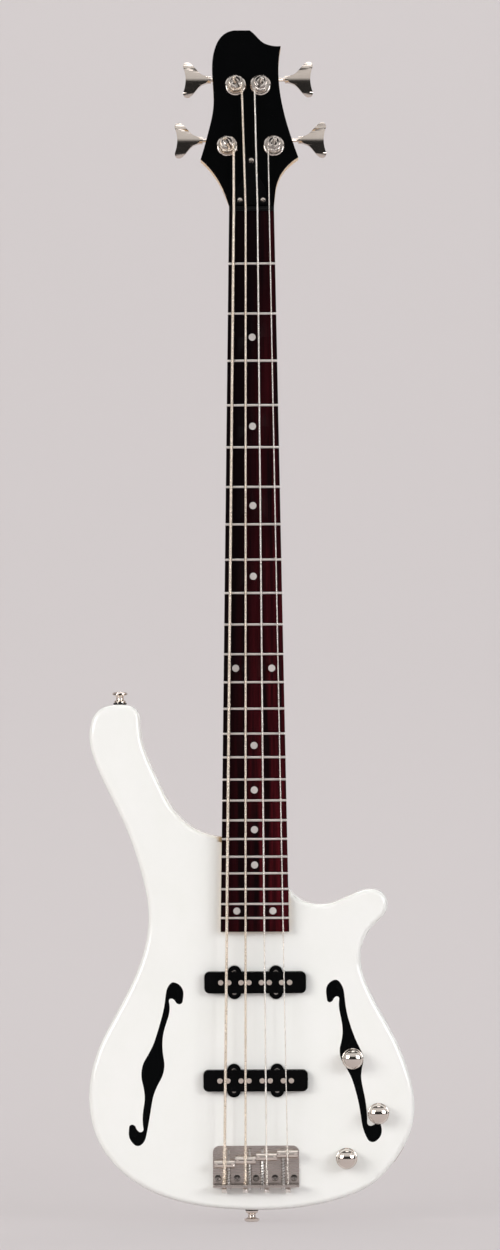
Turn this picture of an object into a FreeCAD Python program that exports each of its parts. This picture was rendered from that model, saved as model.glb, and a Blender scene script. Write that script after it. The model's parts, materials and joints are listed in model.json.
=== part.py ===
import FreeCAD
import Part
import math
import os

# Frame: millimetres, +Z runs up the neck, the face looks along -Y and the bass side is at -X.
# The origin is the tail of the body, on the neck's centre line, in the middle of the thickness.

# Scale and strings
scale_length = 863.6
saddle_line_z = 52.4
fret_count = 24
string_names = ["e", "a", "d", "g"]
string_diameters = [2.67, 2.16, 1.65, 1.14]
saddle_setbacks = [9.5, 6.0, 3.0, 0.5]
nut_string_spacing = 10.8
bridge_string_spacing = 19.2
string_rise_at_nut = 1.6
string_rise_at_saddle = 5.3
string_facets = 6
winding_turns = [1.75, 2.25, 2.25, 2.25]
winding_gap = 0.5
winding_clearance = 0.15
saddle_string_gap = 0.05
tail_bend_share = 0.75
nut_bend_radius = 12.0

# Body
body_thickness = 40.0
edge_round = 5.0
body_outline = [
    (-2, 0), (-64, 6.6), (-97, 18), (-128, 40.3), (-145.5, 66), (-152.7, 101), (-147, 140), (-125.6, 184),
    (-105, 228), (-97.5, 267), (-103, 306), (-119.7, 355), (-143, 404), (-151, 437), (-143.5, 458),
    (-125, 464), (-108, 459.5), (-103.8, 440), (-89.3, 397), (-71.5, 365), (-49, 347.5), (-8, 337),
    (20, 314), (38, 288), (60, 280.2), (91, 290), (107, 294), (118.5, 289), (121.5, 277.5), (108, 260),
    (96.8, 229), (103, 205), (126, 161), (141.5, 122), (145.5, 98), (142.2, 72), (131, 50), (112.5, 28),
    (63.5, 6.4),
]
inlay_thickness = 1.5
bass_inlay_outline = [
    (-74.4, 209.3), (-67.1, 204), (-65.8, 197.3), (-70.1, 189.2), (-76.2, 194.3), (-78.6, 183.5), (-82.6, 169),
    (-85.1, 147), (-83.8, 130), (-92.6, 108.5), (-96, 93.5), (-100.2, 70), (-103.2, 62.3), (-108.3, 59.4),
    (-114, 63.3), (-116.5, 71.5), (-113.5, 79), (-107.2, 72.6), (-103.6, 88), (-101.8, 105), (-104.5, 128.6),
    (-95, 149.5), (-90, 163), (-82.6, 193.5), (-79.2, 206.5),
]
treble_inlay_outline = [
    (72.8, 211), (66, 205.5), (65.1, 198), (68.8, 190.5), (74, 195.6), (76.8, 185.5), (79.2, 172), (79.7, 160),
    (77.3, 143.5), (86, 125), (91.6, 109.3), (95.5, 91.5), (100.3, 69), (106.2, 62.1), (113.3, 66), (115.3, 75),
    (112.8, 80), (105.8, 77), (102, 88), (99.7, 105), (97.1, 127), (98.8, 139.5), (94.2, 151.2), (89.6, 162),
    (82.4, 191), (78.6, 207.5),
]

# Neck and fingerboard
nut_width = 41.2
board_end_width = 62.7
board_overhang = 12.7
board_thickness = 6.0
board_radius = 400.0
board_height = 9.0
neck_depth_nut = 15.5
neck_depth_heel = 17.0
neck_side = 2.0
heel_depth = 19.0
heel_length = 112.0
heel_run = 36.0
pocket_clearance = 0.15
fret_width = 2.4
fret_height = 1.1
fret_profile = [(0, -0.5), (0.65, -0.36), (1, -0.14), (1, 0.14), (0.65, 0.36), (0, 0.5)]
fret_tang = 0.6
fret_tang_depth = 2.2
slot_clearance = 0.03
marker_diameter = 6.5
marker_thickness = 1.5
single_markers = [3, 5, 7, 9, 15, 17, 19, 21]
double_markers = [12, 24]
double_marker_spacing = 33.0
nut_thickness = 4.0
nut_shoulder = 0.9

# Headstock
head_tilt = 8.0
head_thickness = 14.0
veneer_thickness = 1.2
veneer_gap = 0.2
head_root = 16.0
head_left_flank = [(-24.5, 16), (-33, 32.7), (-46.5, 48.1)]
head_left_side = [(-46.5, 48.1), (-39, 74.7), (-34.6, 97.2), (-33.6, 149.8), (-26.5, 163.3), (-15.2, 168.5)]
head_notch = [(-1, 168.5), (4.7, 163.4), (10.9, 157.3), (17, 154.6), (27.5, 153.7)]
head_right_side = [(27.5, 153.7), (25.9, 117), (32.9, 81), (43.1, 49.8)]
head_right_flank = [(43.1, 49.8), (25.2, 30), (21.8, 16)]

# Truss rod and its cover
rod_width = 6.0
rod_depth = 9.0
rod_start_from_heel = 14.0
rod_clearance = 0.1
rod_stem_radius = 2.5
rod_nut_radius = 3.5
rod_nut_length = 9.0
rod_nut_from_nut = 16.0
rod_nut_wall = 2.0
rod_pocket_width = 12.0
rod_pocket_length = 26.0
rod_pocket_depth = 9.8
rod_pocket_from_nut = 6.0
rod_cover_thickness = 1.8
rod_cover_corner = 2.5
rod_cover_right = [(14.5, 5), (12.5, 22), (5.5, 34), (4.5, 50)]
rod_cover_screws = [(0, 46.5), (-10.6, 9.5), (10.6, 9.5)]

# Tuning machines: post places across and along the headstock, then the gear pair
post_places = [(-22.1, 60.5), (-14.2, 117.2), (8.7, 117.2), (20.7, 60.5)]
post_radius = 6.0
post_waist_radius = 4.5
post_waist_length = 11.6
post_cap_length = 3.5
post_slot_floor = 6.4
post_slot_play = 1.25
post_spigot_radius = 2.5
post_flange_gap = 0.2
post_neck_taper = 0.6
post_cap_bevel = 0.8
rivet_lip = 0.7
rivet_height = 0.6
rivet_gap = 0.02
gear_seat_clearance = 0.03
bushing_radius = 9.5
bushing_height = 2.0
bushing_rim = 1.0
bushing_bevel = 1.2
bushing_sleeve_radius = 7.5
running_clearance = 0.05
seat_clearance = 0.05
gear_teeth = 20
gear_module = 0.65
gear_width = 3.4
tooth_share = 0.36
worm_share = 0.38
flank_angle = 20.0
tooth_addendum = 0.58
tooth_dedendum = 0.78
worm_pitch_radius = 2.4
worm_turns = 5
worm_root_sink = 0.3
worm_tail = 1.0
worm_axis_depth = 4.6
worm_shaft_radius = 1.7
plate_thickness = 1.2
tuner_plate_corner = 3.0
plate_screw_margin = 3.0
plate_width = 21.0
plate_below = 13.0
plate_above = 18.5
ear_thickness = 1.6
ear_half_width = 3.4
ear_gap = 0.3
key_reach = 25.5
key_collar_radius = 3.4
key_collar_length = 3.0
key_thickness = 6.4
key_edge_thickness = 2.2
key_crown_run = 15.0
key_root_profile = [(3.5, 0), (7.2, 7.5), (20, 16)]
key_socket = 9.0
key_socket_gap = 0.2
key_inner_edge = [(0, 3.4), (7.5, 6.3), (13.2, 12.8), (17.5, 16.4)]
key_tip = [(17.5, 16.4), (21.4, 15.8), (22.8, 12.3)]
key_outer_dip = 20.4

# Bridge
bridge_width = 79.0
bridge_lip_z = 21.7
bridge_length = 37.6
bridge_thickness = 2.0
bridge_lip_height = 15.0
bridge_lip_thickness = 2.4
bridge_corner = 6.0
bridge_screw_count = 5
bridge_screw_spacing = 17.4
bridge_screw_from_lip = 5.6
saddle_radius = 3.75
saddle_length = 18.6
saddle_groove_radius = 2.6
height_screw_radius = 1.25
height_screw_offset = 7.3
height_screw_recess = 0.6
intonation_offset = 3.8
intonation_radius = 1.25
intonation_tip_z = 56.5
intonation_head_radius = 2.2
intonation_head_length = 2.0
spring_radius = 1.95
spring_wire = 0.55
spring_facets = 4
spring_pitch = 2.5
spring_end_gap = 0.3
ball_radius = 2.6
ball_width = 4.6
ball_rise = 5.2
string_hole_play = 0.5

# Pickups: distance from the saddle line, length of the cover and half distance between its ears
pickups = [(156.6, 92.7, 19.0, 18.6), (66.6, 95.2, 19.8, 19.4)]
pickup_names = ["neck_pickup", "bridge_pickup"]
cover_width = 19.5
cover_corner = 4.5
cover_rise = 7.0
cover_depth = 10.0
cover_wall = 1.4
cover_clearance = 0.4
ear_radius = 6.0
ear_reach = 9.2
ear_rise = 2.6
ear_thickness_cover = 3.0
pickup_pocket_depth = 18.0
pole_radius = 2.4
pole_pair = 7.3
pole_proud = 0.6
pole_length = 17.0
flange_thickness = 1.6
flange_margin = 0.4
coil_margin = 1.4
coil_eye_gap = 0.4
foam_width = 12.0
foam_end_gap = 4.0

# Controls
knob_places = [(89.0, 138.6), (112.4, 88.2), (83.1, 47.3)]
knob_names = ["volume_knob", "balance_knob", "tone_knob"]
knob_radius = 9.8
knob_height = 17.0
knob_gap = 0.6
knob_recess_radius = 7.4
knob_recess_depth = 5.0
knob_dome_radius = 8.5
knob_band = 1.5
knob_shoulder = 4.4
knob_grip_clearance = 0.02
shaft_radius = 3.0
shaft_end_gap = 0.5
shaft_top_gap = 0.1
pot_radius = 8.6
pot_height = 9.0
pot_bore_depth = 4.5
pot_bushing_radius = 4.0
pot_bushing_rise = 4.0
pot_nut_radius = 6.2
pot_nut_height = 2.4
front_wall = 6.0
cavity_margin = 14.0
cover_ledge = 5.5
control_cover_thickness = 2.0
control_cover_clearance = 0.2
control_screw_count = 6

# Output jack in the lower edge
jack_place = (131.0, 50.0)
jack_radius = 5.5
jack_length = 30.0
jack_drill_depth = 50.0
jack_bore_radius = 3.25
jack_bore_depth = 28.0
jack_flange_radius = 9.5
jack_flange_height = 2.0
jack_flange_proud = 0.8
jack_flange_rim = 1.2
jack_flange_bevel = 0.8

# Straps
horn_button = (-123.0, 463.9)
tail_button_x = -4.0
button_height = 10.0
button_radius = 7.0
button_waist = 3.6
button_base_radius = 5.6
button_bore = 2.3
button_base_height = 1.6
button_flare = 1.4
button_rim = 1.4
button_head_height = 2.6
button_bevel = 1.4
button_bevel_height = 1.2
button_screw_gap = 0.1
washer_radius = 6.2
washer_thickness = 1.6

# Neck joint
plate_size_x = 44.0
plate_size_z = 42.0
plate_inset = 1.6
plate_corner = 5.0
neck_plate_from_end = 3.0
neck_screw_margin = 6.5

# Screws: head radius, shank radius, head depth, length
neck_screw = (4.4, 2.3, 2.6, 34.0)
bridge_screw = (3.3, 1.6, 1.6, 18.0)
strap_screw = (3.6, 1.7, 2.2, 34.0)
cover_screw = (2.4, 1.1, 1.2, 10.0)
pickup_screw = (2.3, 1.1, 1.3, 26.0)
screw_clearance = 0.05
screw_sides = 6
screw_tip_share = 0.4

# Leads
lead_diameter = 2.4
lead_y = -4.6
lead_x = 36.0
lead_bend = 9.0
lead_entry_bend = 2.6
lead_cavity_bend = 5.4
lead_gap = 0.3
lead_facets = 6
jack_lead_bends = [4.0, 5.0]
channel_radius = 2.6

# How far a cutting tool runs past the face that it opens
cut_past = 3.0

# Levels and places that follow from the sizes above
front_y = -body_thickness / 2
back_y = body_thickness / 2
board_top_y = front_y - board_height
glue_y = board_top_y + board_thickness
pocket_floor_y = glue_y + heel_depth
nut_z = saddle_line_z + scale_length
tilt = math.radians(head_tilt)
gear_pitch_radius = gear_module * gear_teeth / 2
worm_lead = math.pi * gear_module
worm_distance = gear_pitch_radius + worm_pitch_radius
string_count = len(string_names)
head_origin_y = glue_y - nut_thickness * math.tan(tilt)
plate_top_y = front_y - bridge_thickness


def vec(x, y, z):
    return FreeCAD.Vector(x, y, z)


head_frame = FreeCAD.Placement(vec(0, head_origin_y, nut_z), FreeCAD.Rotation(vec(1, 0, 0), -head_tilt))


def fret_z(number):
    return nut_z - scale_length * (1 - 2 ** (-number / 12))


board_end_z = fret_z(fret_count) - board_overhang
pocket_end_z = board_end_z - pocket_clearance


def board_width(z):
    share = (nut_z - z) / (nut_z - board_end_z)
    return nut_width + (board_end_width - nut_width) * share


def crown_drop(x):
    return board_radius - math.sqrt(board_radius ** 2 - x ** 2)


def string_spread(index, spacing):
    return (index - (string_count - 1) / 2) * spacing


# General shape makers

def on_head(shape):
    placed = shape.copy()
    placed.Placement = head_frame.multiply(placed.Placement)
    return placed


def stand(shape, base, axis):
    placed = shape.copy()
    placed.Placement = FreeCAD.Placement(base, FreeCAD.Rotation(vec(0, 0, 1), axis))
    return placed


def flat_points(pairs, y=0.0):
    return [vec(x, y, z) for x, z in pairs]


def spline_edge(pairs):
    curve = Part.BSplineCurve()
    curve.interpolate(flat_points(pairs))
    return curve.toShape()


def line_edge(first, second):
    return Part.LineSegment(vec(first[0], 0, first[1]), vec(second[0], 0, second[1])).toShape()


def closed_spline(pairs):
    curve = Part.BSplineCurve()
    curve.interpolate(Points=flat_points(pairs), PeriodicFlag=True)
    return curve


def slab(wire, low_y, high_y):
    face = Part.Face(wire)
    face.translate(vec(0, low_y, 0))
    return face.extrude(vec(0, high_y - low_y, 0))


def polygon_wire(pairs):
    points = flat_points(pairs)
    return Part.makePolygon(points + points[:1])


def rounded_polygon(pairs, radius):
    edges = []
    count = len(pairs)
    starts = []
    ends = []
    middles = []
    for index in range(count):
        corner = vec(pairs[index][0], 0, pairs[index][1])
        before = vec(pairs[index - 1][0], 0, pairs[index - 1][1]) - corner
        after = vec(pairs[(index + 1) % count][0], 0, pairs[(index + 1) % count][1]) - corner
        before.normalize()
        after.normalize()
        half = before.getAngle(after) / 2
        setback = radius / math.tan(half)
        inward = before + after
        inward.normalize()
        starts.append(corner + before * setback)
        ends.append(corner + after * setback)
        middles.append(corner + inward * (radius / math.sin(half) - radius))
    for index in range(count):
        edges.append(Part.Arc(starts[index], middles[index], ends[index]).toShape())
        edges.append(Part.LineSegment(ends[index], starts[(index + 1) % count]).toShape())
    return Part.Wire(edges)


def rounded_box_wire(width, length, radius):
    corners = [
        (-width / 2, -length / 2),
        (width / 2, -length / 2),
        (width / 2, length / 2),
        (-width / 2, length / 2),
    ]
    return rounded_polygon(corners, radius)


def moved_wire(wire, x, z):
    shifted = wire.copy()
    shifted.translate(vec(x, 0, z))
    return shifted


def box_between(low, high):
    return Part.makeBox(high[0] - low[0], high[1] - low[1], high[2] - low[2], vec(*low))


def turned(profile):
    points = [vec(radius, 0, height) for radius, height in profile]
    return flat_face(points).revolve(vec(0, 0, 0), vec(0, 0, 1), 360)


def ring_points(radius, height, sides):
    step = 2 * math.pi / sides
    return [vec(radius * math.cos(step * k), radius * math.sin(step * k), height) for k in range(sides)]


def flat_face(corners):
    return Part.Face(Part.makePolygon(corners + corners[:1]))


def faceted(sections, sides):
    rings = [ring_points(radius, height, sides) for radius, height in sections]
    faces = [flat_face(rings[0]), flat_face(rings[-1])]
    for low, high in zip(rings, rings[1:]):
        for k in range(sides):
            faces.append(flat_face([low[k - 1], low[k], high[k], high[k - 1]]))
    return Part.makeSolid(Part.makeShell(faces))


def screw(sizes, slack=0.0):
    head_radius, shank_radius, head_depth, length = sizes
    sections = [
        (head_radius + slack, 0.0),
        (shank_radius + slack, -head_depth - slack),
        (shank_radius * screw_tip_share + slack, -length - slack),
    ]
    return faceted(sections, screw_sides)


def place_screws(sizes, places, outward, slack=0.0):
    return [stand(screw(sizes, slack), place, outward) for place in places]


def cut_all(shape, tools):
    return shape.cut(Part.makeCompound(tools)) if tools else shape


# Routes made of straight runs, tangent arcs and biarcs

def arc_middle(start, tangent, end):
    chord = end - start
    along = vec(chord.x, chord.y, chord.z)
    along.normalize()
    side = tangent - along * tangent.dot(along)
    side.normalize()
    angle = tangent.getAngle(chord)
    return start + chord * 0.5 + side * (chord.Length / 2 * math.tan(angle / 2))


def biarc(start, start_tangent, end, end_tangent):
    span = end - start
    reach = span.dot(start_tangent + end_tangent)
    spread = 2 * (1 - start_tangent.dot(end_tangent))
    step = span.dot(span) / (math.sqrt(reach ** 2 + spread * span.dot(span)) + reach)
    joint = (start + end + (start_tangent - end_tangent) * step) * 0.5
    first = Part.Arc(start, arc_middle(start, start_tangent, joint), joint)
    second = Part.Arc(joint, arc_middle(end, end_tangent * -1, joint), end)
    return [first.toShape(), second.toShape()]


def rounded_route(points, radii):
    edges = []
    last = points[0]
    for index in range(1, len(points) - 1):
        corner = points[index]
        back = points[index - 1] - corner
        ahead = points[index + 1] - corner
        back.normalize()
        ahead.normalize()
        half = back.getAngle(ahead) / 2
        setback = radii[index - 1] / math.tan(half)
        inward = back + ahead
        inward.normalize()
        start = corner + back * setback
        end = corner + ahead * setback
        middle = corner + inward * (radii[index - 1] / math.sin(half) - radii[index - 1])
        edges.append(Part.LineSegment(last, start).toShape())
        edges.append(Part.Arc(start, middle, end).toShape())
        last = end
    edges.append(Part.LineSegment(last, points[-1]).toShape())
    return edges


def tube(edges, start, direction, radius, sides):
    points = ring_points(radius, 0, sides)
    section = Part.makePolygon(points + points[:1])
    section.Placement = FreeCAD.Placement(start, FreeCAD.Rotation(vec(0, 0, 1), direction))
    return Part.Wire(edges).makePipeShell([section], True, False)


def least_gap(points, skip, thickness):
    least = 1e9
    for first in range(len(points)):
        for second in range(first + skip, len(points)):
            least = min(least, (points[first] - points[second]).Length)
    return least - thickness


# Body

def arc_outline(pairs):
    curve = closed_spline(pairs)
    knots = flat_points(pairs)
    headings = [vec(*curve.tangent(curve.parameter(knot))[0]) for knot in knots]
    edges = []
    for k in range(len(knots)):
        edges += biarc(knots[k - 1], headings[k - 1], knots[k], headings[k])
    return Part.Wire(edges)


def neck_pocket():
    half_end = board_width(pocket_end_z) / 2 + pocket_clearance
    top_z = board_end_z + heel_length + heel_run
    half_top = board_width(top_z) / 2 + pocket_clearance
    lower_corners = [(-half_end, pocket_end_z), (half_end, pocket_end_z)]
    wire = polygon_wire(lower_corners + [(half_top, top_z), (-half_top, top_z)])
    return slab(wire, front_y - cut_past, pocket_floor_y)


def pickup_z(index):
    return saddle_line_z + pickups[index][0]


def ear_places(index):
    half = pickups[index][2]
    z = pickup_z(index)
    return [(x, z + reach) for x in (-half, half) for reach in (-ear_reach, ear_reach)]


def cover_blank(index, grow, ear_low, ear_high, low_y, high_y):
    z = pickup_z(index)
    length = pickups[index][1]
    wire = rounded_box_wire(length + 2 * grow, cover_width + 2 * grow, cover_corner + grow)
    blank = slab(moved_wire(wire, 0, z), low_y, high_y)
    ears = []
    for x, ear_z in ear_places(index):
        disc = Part.makeCylinder(ear_radius + grow, ear_high - ear_low)
        ears.append(stand(disc, vec(x, ear_low, ear_z), vec(0, 1, 0)))
    return blank.multiFuse(ears).removeSplitter()


def pickup_pocket(index):
    floor_y = front_y + pickup_pocket_depth
    mouth_y = front_y - cut_past
    return cover_blank(index, cover_clearance, mouth_y, floor_y, mouth_y, floor_y)


def cavity_wire(grow):
    return Part.Wire(polygon_wire(knob_places).makeOffset2D(cavity_margin + grow).Edges)


def control_cavity():
    cover_floor = back_y - control_cover_thickness
    cavity = slab(cavity_wire(0), front_y + front_wall, back_y)
    ledge = slab(cavity_wire(cover_ledge), cover_floor, back_y)
    return [cavity, ledge]


def pot_holes():
    holes = []
    for x, z in knob_places:
        hole = Part.makeCylinder(pot_bushing_radius + seat_clearance, front_wall + 2 * cut_past)
        holes.append(stand(hole, vec(x, front_y - cut_past, z), vec(0, 1, 0)))
    return holes


def jack_frame():
    curve = closed_spline(body_outline)
    parameter = curve.parameter(vec(jack_place[0], 0, jack_place[1]))
    base = curve.value(parameter)
    along = vec(*curve.tangent(parameter)[0])
    outward = vec(along.z, 0, -along.x)
    if outward.x < 0:
        outward = outward * -1
    return base, outward


def jack_holes():
    base, outward = jack_frame()
    seat = base - outward * (jack_flange_height - jack_flange_proud)
    bore = Part.makeCylinder(jack_radius + seat_clearance, jack_drill_depth)
    spot = Part.makeCylinder(jack_flange_radius + seat_clearance, jack_flange_height + cut_past)
    return [stand(bore, base, outward * -1), stand(spot, seat, outward)]


def lead_channels():
    neck_z = pickup_z(0)
    bridge_z = pickup_z(1)
    down = Part.makeCylinder(channel_radius, neck_z - bridge_z)
    across = Part.makeCylinder(channel_radius, knob_places[0][0] - lead_x)
    return [
        stand(down, vec(lead_x, lead_y, bridge_z), vec(0, 0, 1)),
        stand(across, vec(lead_x, lead_y, bridge_z), vec(1, 0, 0)),
    ]


def neck_plate_z():
    return board_end_z + neck_plate_from_end + plate_size_z / 2


def neck_screw_places():
    half_x = plate_size_x / 2 - neck_screw_margin
    half_z = plate_size_z / 2 - neck_screw_margin
    middle = neck_plate_z()
    return [vec(x, back_y, middle + z) for x in (-half_x, half_x) for z in (-half_z, half_z)]


def bridge_screw_places():
    z = bridge_lip_z + bridge_lip_thickness + bridge_screw_from_lip
    first = -(bridge_screw_count - 1) / 2 * bridge_screw_spacing
    return [vec(first + k * bridge_screw_spacing, plate_top_y, z) for k in range(bridge_screw_count)]


def pickup_screw_places():
    y = front_y - ear_rise
    return [vec(x, y, z) for index in range(len(pickups)) for x, z in ear_places(index)]


def control_screw_places():
    middle_wire = cavity_wire(cover_ledge / 2)
    return [vec(p.x, back_y, p.z) for p in middle_wire.discretize(Number=control_screw_count + 1)[:-1]]


def tail_button_place():
    return vec(tail_button_x, 0, 0)


def horn_button_place():
    return vec(horn_button[0], 0, horn_button[1])


def strap_screw_places():
    lift = washer_thickness + button_height
    return [horn_button_place() + vec(0, 0, lift), tail_button_place() - vec(0, 0, lift)]


def body_screws(slack):
    upper, lower = strap_screw_places()
    tools = place_screws(neck_screw, neck_screw_places(), vec(0, 1, 0), slack)
    tools += place_screws(bridge_screw, bridge_screw_places(), vec(0, -1, 0), slack)
    tools += place_screws(pickup_screw, pickup_screw_places(), vec(0, -1, 0), slack)
    tools += place_screws(cover_screw, control_screw_places(), vec(0, 1, 0), slack)
    tools += place_screws(strap_screw, [upper], vec(0, 0, 1), slack)
    tools += place_screws(strap_screw, [lower], vec(0, 0, -1), slack)
    return tools


def neck_plate_recess():
    wire = moved_wire(rounded_box_wire(plate_size_x, plate_size_z, plate_corner), 0, neck_plate_z())
    return slab(wire, back_y - plate_inset, back_y)


def washer_seats():
    upper = Part.makeCylinder(washer_radius, 2 * cut_past)
    return [
        stand(upper, horn_button_place(), vec(0, 0, 1)),
        stand(upper, tail_button_place(), vec(0, 0, -1)),
    ]


def inlay_pockets():
    outlines = [bass_inlay_outline, treble_inlay_outline]
    return [slab(arc_outline(outline), front_y, front_y + inlay_thickness) for outline in outlines]


def make_body():
    blank = slab(arc_outline(body_outline), front_y, back_y)
    rims = [edge for edge in blank.Edges if abs(edge.BoundBox.YLength) < 1e-6]
    body = blank.makeFillet(edge_round, rims)
    tools = [neck_pocket(), pickup_pocket(0), pickup_pocket(1), neck_plate_recess()]
    tools += control_cavity() + pot_holes() + jack_holes() + lead_channels()
    tools += inlay_pockets() + washer_seats() + body_screws(screw_clearance)
    for tool in tools:
        body = body.cut(tool)
    return body


def make_inlays():
    tools = pot_holes()
    return [cut_all(pocket, tools) for pocket in inlay_pockets()]


# Neck, fingerboard and headstock

def neck_section(z, depth, side, arched):
    half = board_width(z) / 2
    edge_y = glue_y + side
    corners = [vec(-half, glue_y, z), vec(half, glue_y, z), vec(half, edge_y, z), vec(-half, edge_y, z)]
    edges = [Part.LineSegment(corners[k], corners[k + 1]).toShape() for k in range(2)]
    if arched:
        edges.append(Part.Arc(corners[2], vec(0, glue_y + depth, z), corners[3]).toShape())
    else:
        edges.append(Part.LineSegment(corners[2], corners[3]).toShape())
    edges.append(Part.LineSegment(corners[3], corners[0]).toShape())
    return Part.Wire(edges)


def head_root_section():
    left = head_left_flank[0][0]
    right = head_right_flank[-1][0]
    corners = [
        vec(left, 0, head_root),
        vec(right, 0, head_root),
        vec(right, head_thickness, head_root),
        vec(left, head_thickness, head_root),
    ]
    wire = Part.makePolygon(corners + corners[:1])
    wire.Placement = head_frame
    return wire


def head_wire(bottom):
    left = head_left_flank[0]
    right = head_right_flank[-1]
    edges = [
        spline_edge(head_left_flank),
        spline_edge(head_left_side),
        line_edge(head_left_side[-1], head_notch[0]),
        spline_edge(head_notch),
        spline_edge(head_right_side),
        spline_edge(head_right_flank),
    ]
    if bottom < head_root:
        half = nut_width / 2
        edges.append(line_edge(right, (half, bottom)))
        edges.append(line_edge((half, bottom), (-half, bottom)))
        edges.append(line_edge((-half, bottom), left))
    else:
        edges.append(line_edge(right, left))
    return Part.Wire(edges)


def post_columns(radius, front, back):
    column = Part.makeCylinder(radius, back - front)
    return [stand(column, vec(x, front, s), vec(0, 1, 0)) for x, s in post_places]


def rod_channel():
    grow = rod_clearance
    low = (-rod_width / 2 - grow, glue_y, board_end_z + rod_start_from_heel - grow)
    high = (rod_width / 2 + grow, glue_y + rod_depth + grow, nut_z + nut_thickness + rod_nut_from_nut)
    return box_between(low, high)


def rod_pocket(front):
    low = (-rod_pocket_width / 2, front, nut_thickness + rod_pocket_from_nut)
    return box_between(low, (rod_pocket_width / 2, rod_pocket_depth, low[2] + rod_pocket_length))


def tuner_screw_places():
    places = []
    for x, s in post_places:
        for across in (-1, 1):
            px = x + across * (plate_width / 2 - plate_screw_margin)
            for ps in (s - plate_below + plate_screw_margin, s + plate_above - plate_screw_margin):
                places.append(vec(px, head_thickness + plate_thickness, ps))
    return places


def rod_cover_screw_places():
    front = -veneer_thickness - rod_cover_thickness
    return [vec(x, front, s) for x, s in rod_cover_screws]


def head_screws(slack):
    tools = place_screws(cover_screw, tuner_screw_places(), vec(0, 1, 0), slack)
    tools += place_screws(cover_screw, rod_cover_screw_places(), vec(0, -1, 0), slack)
    return tools


def make_neck():
    heel_end = board_end_z + heel_length
    shaft_start = heel_end + heel_run
    head_start = nut_z + nut_thickness
    sections = [
        neck_section(board_end_z, heel_depth, heel_depth, False),
        neck_section(heel_end, heel_depth, heel_depth, False),
        neck_section(shaft_start, neck_depth_heel, neck_side, True),
        neck_section(head_start, neck_depth_nut, neck_side, True),
    ]
    shaft = Part.makeLoft(sections, True, True)
    root = Part.makeLoft([sections[-1], head_root_section()], True, True)
    head = on_head(slab(head_wire(head_root), 0, head_thickness))
    neck = shaft.multiFuse([root, head])
    tools = [rod_channel()]
    tools += [on_head(tool) for tool in [rod_pocket(0)] + head_screws(screw_clearance)]
    columns = post_columns(bushing_sleeve_radius + seat_clearance, -cut_past, head_thickness + cut_past)
    tools += [on_head(column) for column in columns]
    tools += place_screws(neck_screw, neck_screw_places(), vec(0, 1, 0), screw_clearance)
    for tool in tools:
        neck = neck.cut(tool)
    return neck


def make_veneer():
    veneer = slab(head_wire(nut_thickness + veneer_gap), -veneer_thickness, 0)
    tools = post_columns(bushing_sleeve_radius + seat_clearance, -veneer_thickness - cut_past, cut_past)
    tools += [rod_pocket(-veneer_thickness - cut_past)] + head_screws(screw_clearance)
    for tool in tools:
        veneer = veneer.cut(tool)
    return on_head(veneer)


def board_cylinder(radius):
    centre = vec(0, board_top_y + board_radius, board_end_z - cut_past)
    return Part.makeCylinder(radius, nut_z - board_end_z + 2 * cut_past, centre)


def fret_slot(number, slack):
    z = fret_z(number)
    half = fret_tang / 2 + slack
    reach = board_width(z) / 2
    low = (-reach, board_top_y - fret_height / 2, z - half)
    return box_between(low, (reach, board_top_y + fret_tang_depth + slack, z + half))


def fret_crown(number):
    z = fret_z(number)
    centre_y = board_top_y + board_radius
    points = [vec(0, board_top_y - up * fret_height, z + along * fret_width) for up, along in fret_profile]
    face = flat_face(points)
    sweep = 2 * math.degrees(math.asin((board_width(z) / 2) / board_radius))
    face.rotate(vec(0, centre_y, 0), vec(0, 0, 1), -sweep / 2)
    return face.revolve(vec(0, centre_y, 0), vec(0, 0, 1), sweep)


def make_frets():
    frets = []
    for number in range(1, fret_count + 1):
        tang = fret_slot(number, 0.0).common(board_cylinder(board_radius + fret_height / 3))
        frets.append(fret_crown(number).fuse(tang))
    return frets


def marker_places():
    places = []
    for number in single_markers:
        places.append((0.0, (fret_z(number) + fret_z(number - 1)) / 2))
    for number in double_markers:
        middle = (fret_z(number) + fret_z(number - 1)) / 2
        places += [(-double_marker_spacing / 2, middle), (double_marker_spacing / 2, middle)]
    return places


def make_markers():
    markers = []
    for x, z in marker_places():
        top_y = board_top_y + crown_drop(abs(x) + marker_diameter / 2)
        disc = Part.makeCylinder(marker_diameter / 2, marker_thickness)
        markers.append(stand(disc, vec(x, top_y, z), vec(0, 1, 0)))
    return markers


def make_board():
    half_nut = nut_width / 2
    half_end = board_end_width / 2
    lower_corners = [(-half_end, board_end_z), (half_end, board_end_z)]
    wire = polygon_wire(lower_corners + [(half_nut, nut_z), (-half_nut, nut_z)])
    board = slab(wire, board_top_y, glue_y).common(board_cylinder(board_radius))
    tools = [fret_slot(number, slot_clearance) for number in range(1, fret_count + 1)]
    for x, z in marker_places():
        hole_y = board_top_y + crown_drop(abs(x) + marker_diameter / 2)
        hole = Part.makeCylinder(marker_diameter / 2 + slot_clearance, marker_thickness + cut_past)
        tools.append(stand(hole, vec(x, hole_y + marker_thickness, z), vec(0, -1, 0)))
    return cut_all(board, tools)


def make_nut():
    half = nut_width / 2
    top = board_top_y - string_rise_at_nut - nut_shoulder
    blank = box_between((-half, top, nut_z), (half, glue_y, nut_z + nut_thickness))
    tools = []
    for index in range(string_count):
        line = string_line(index)
        radius = string_diameters[index] / 2 + winding_clearance
        start = line["nut"] - vec(0, 0, nut_thickness / 2 + cut_past)
        groove = Part.makeCylinder(radius, nut_thickness + 2 * cut_past)
        tools.append(stand(groove, start, vec(0, 0, 1)))
        opening = (start.x - radius, top - cut_past, nut_z - cut_past)
        tools.append(box_between(opening, (start.x + radius, start.y, nut_z + nut_thickness + cut_past)))
        tools.append(stand(groove, line["nut"], line["leave"]))
    return cut_all(blank, tools)


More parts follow.
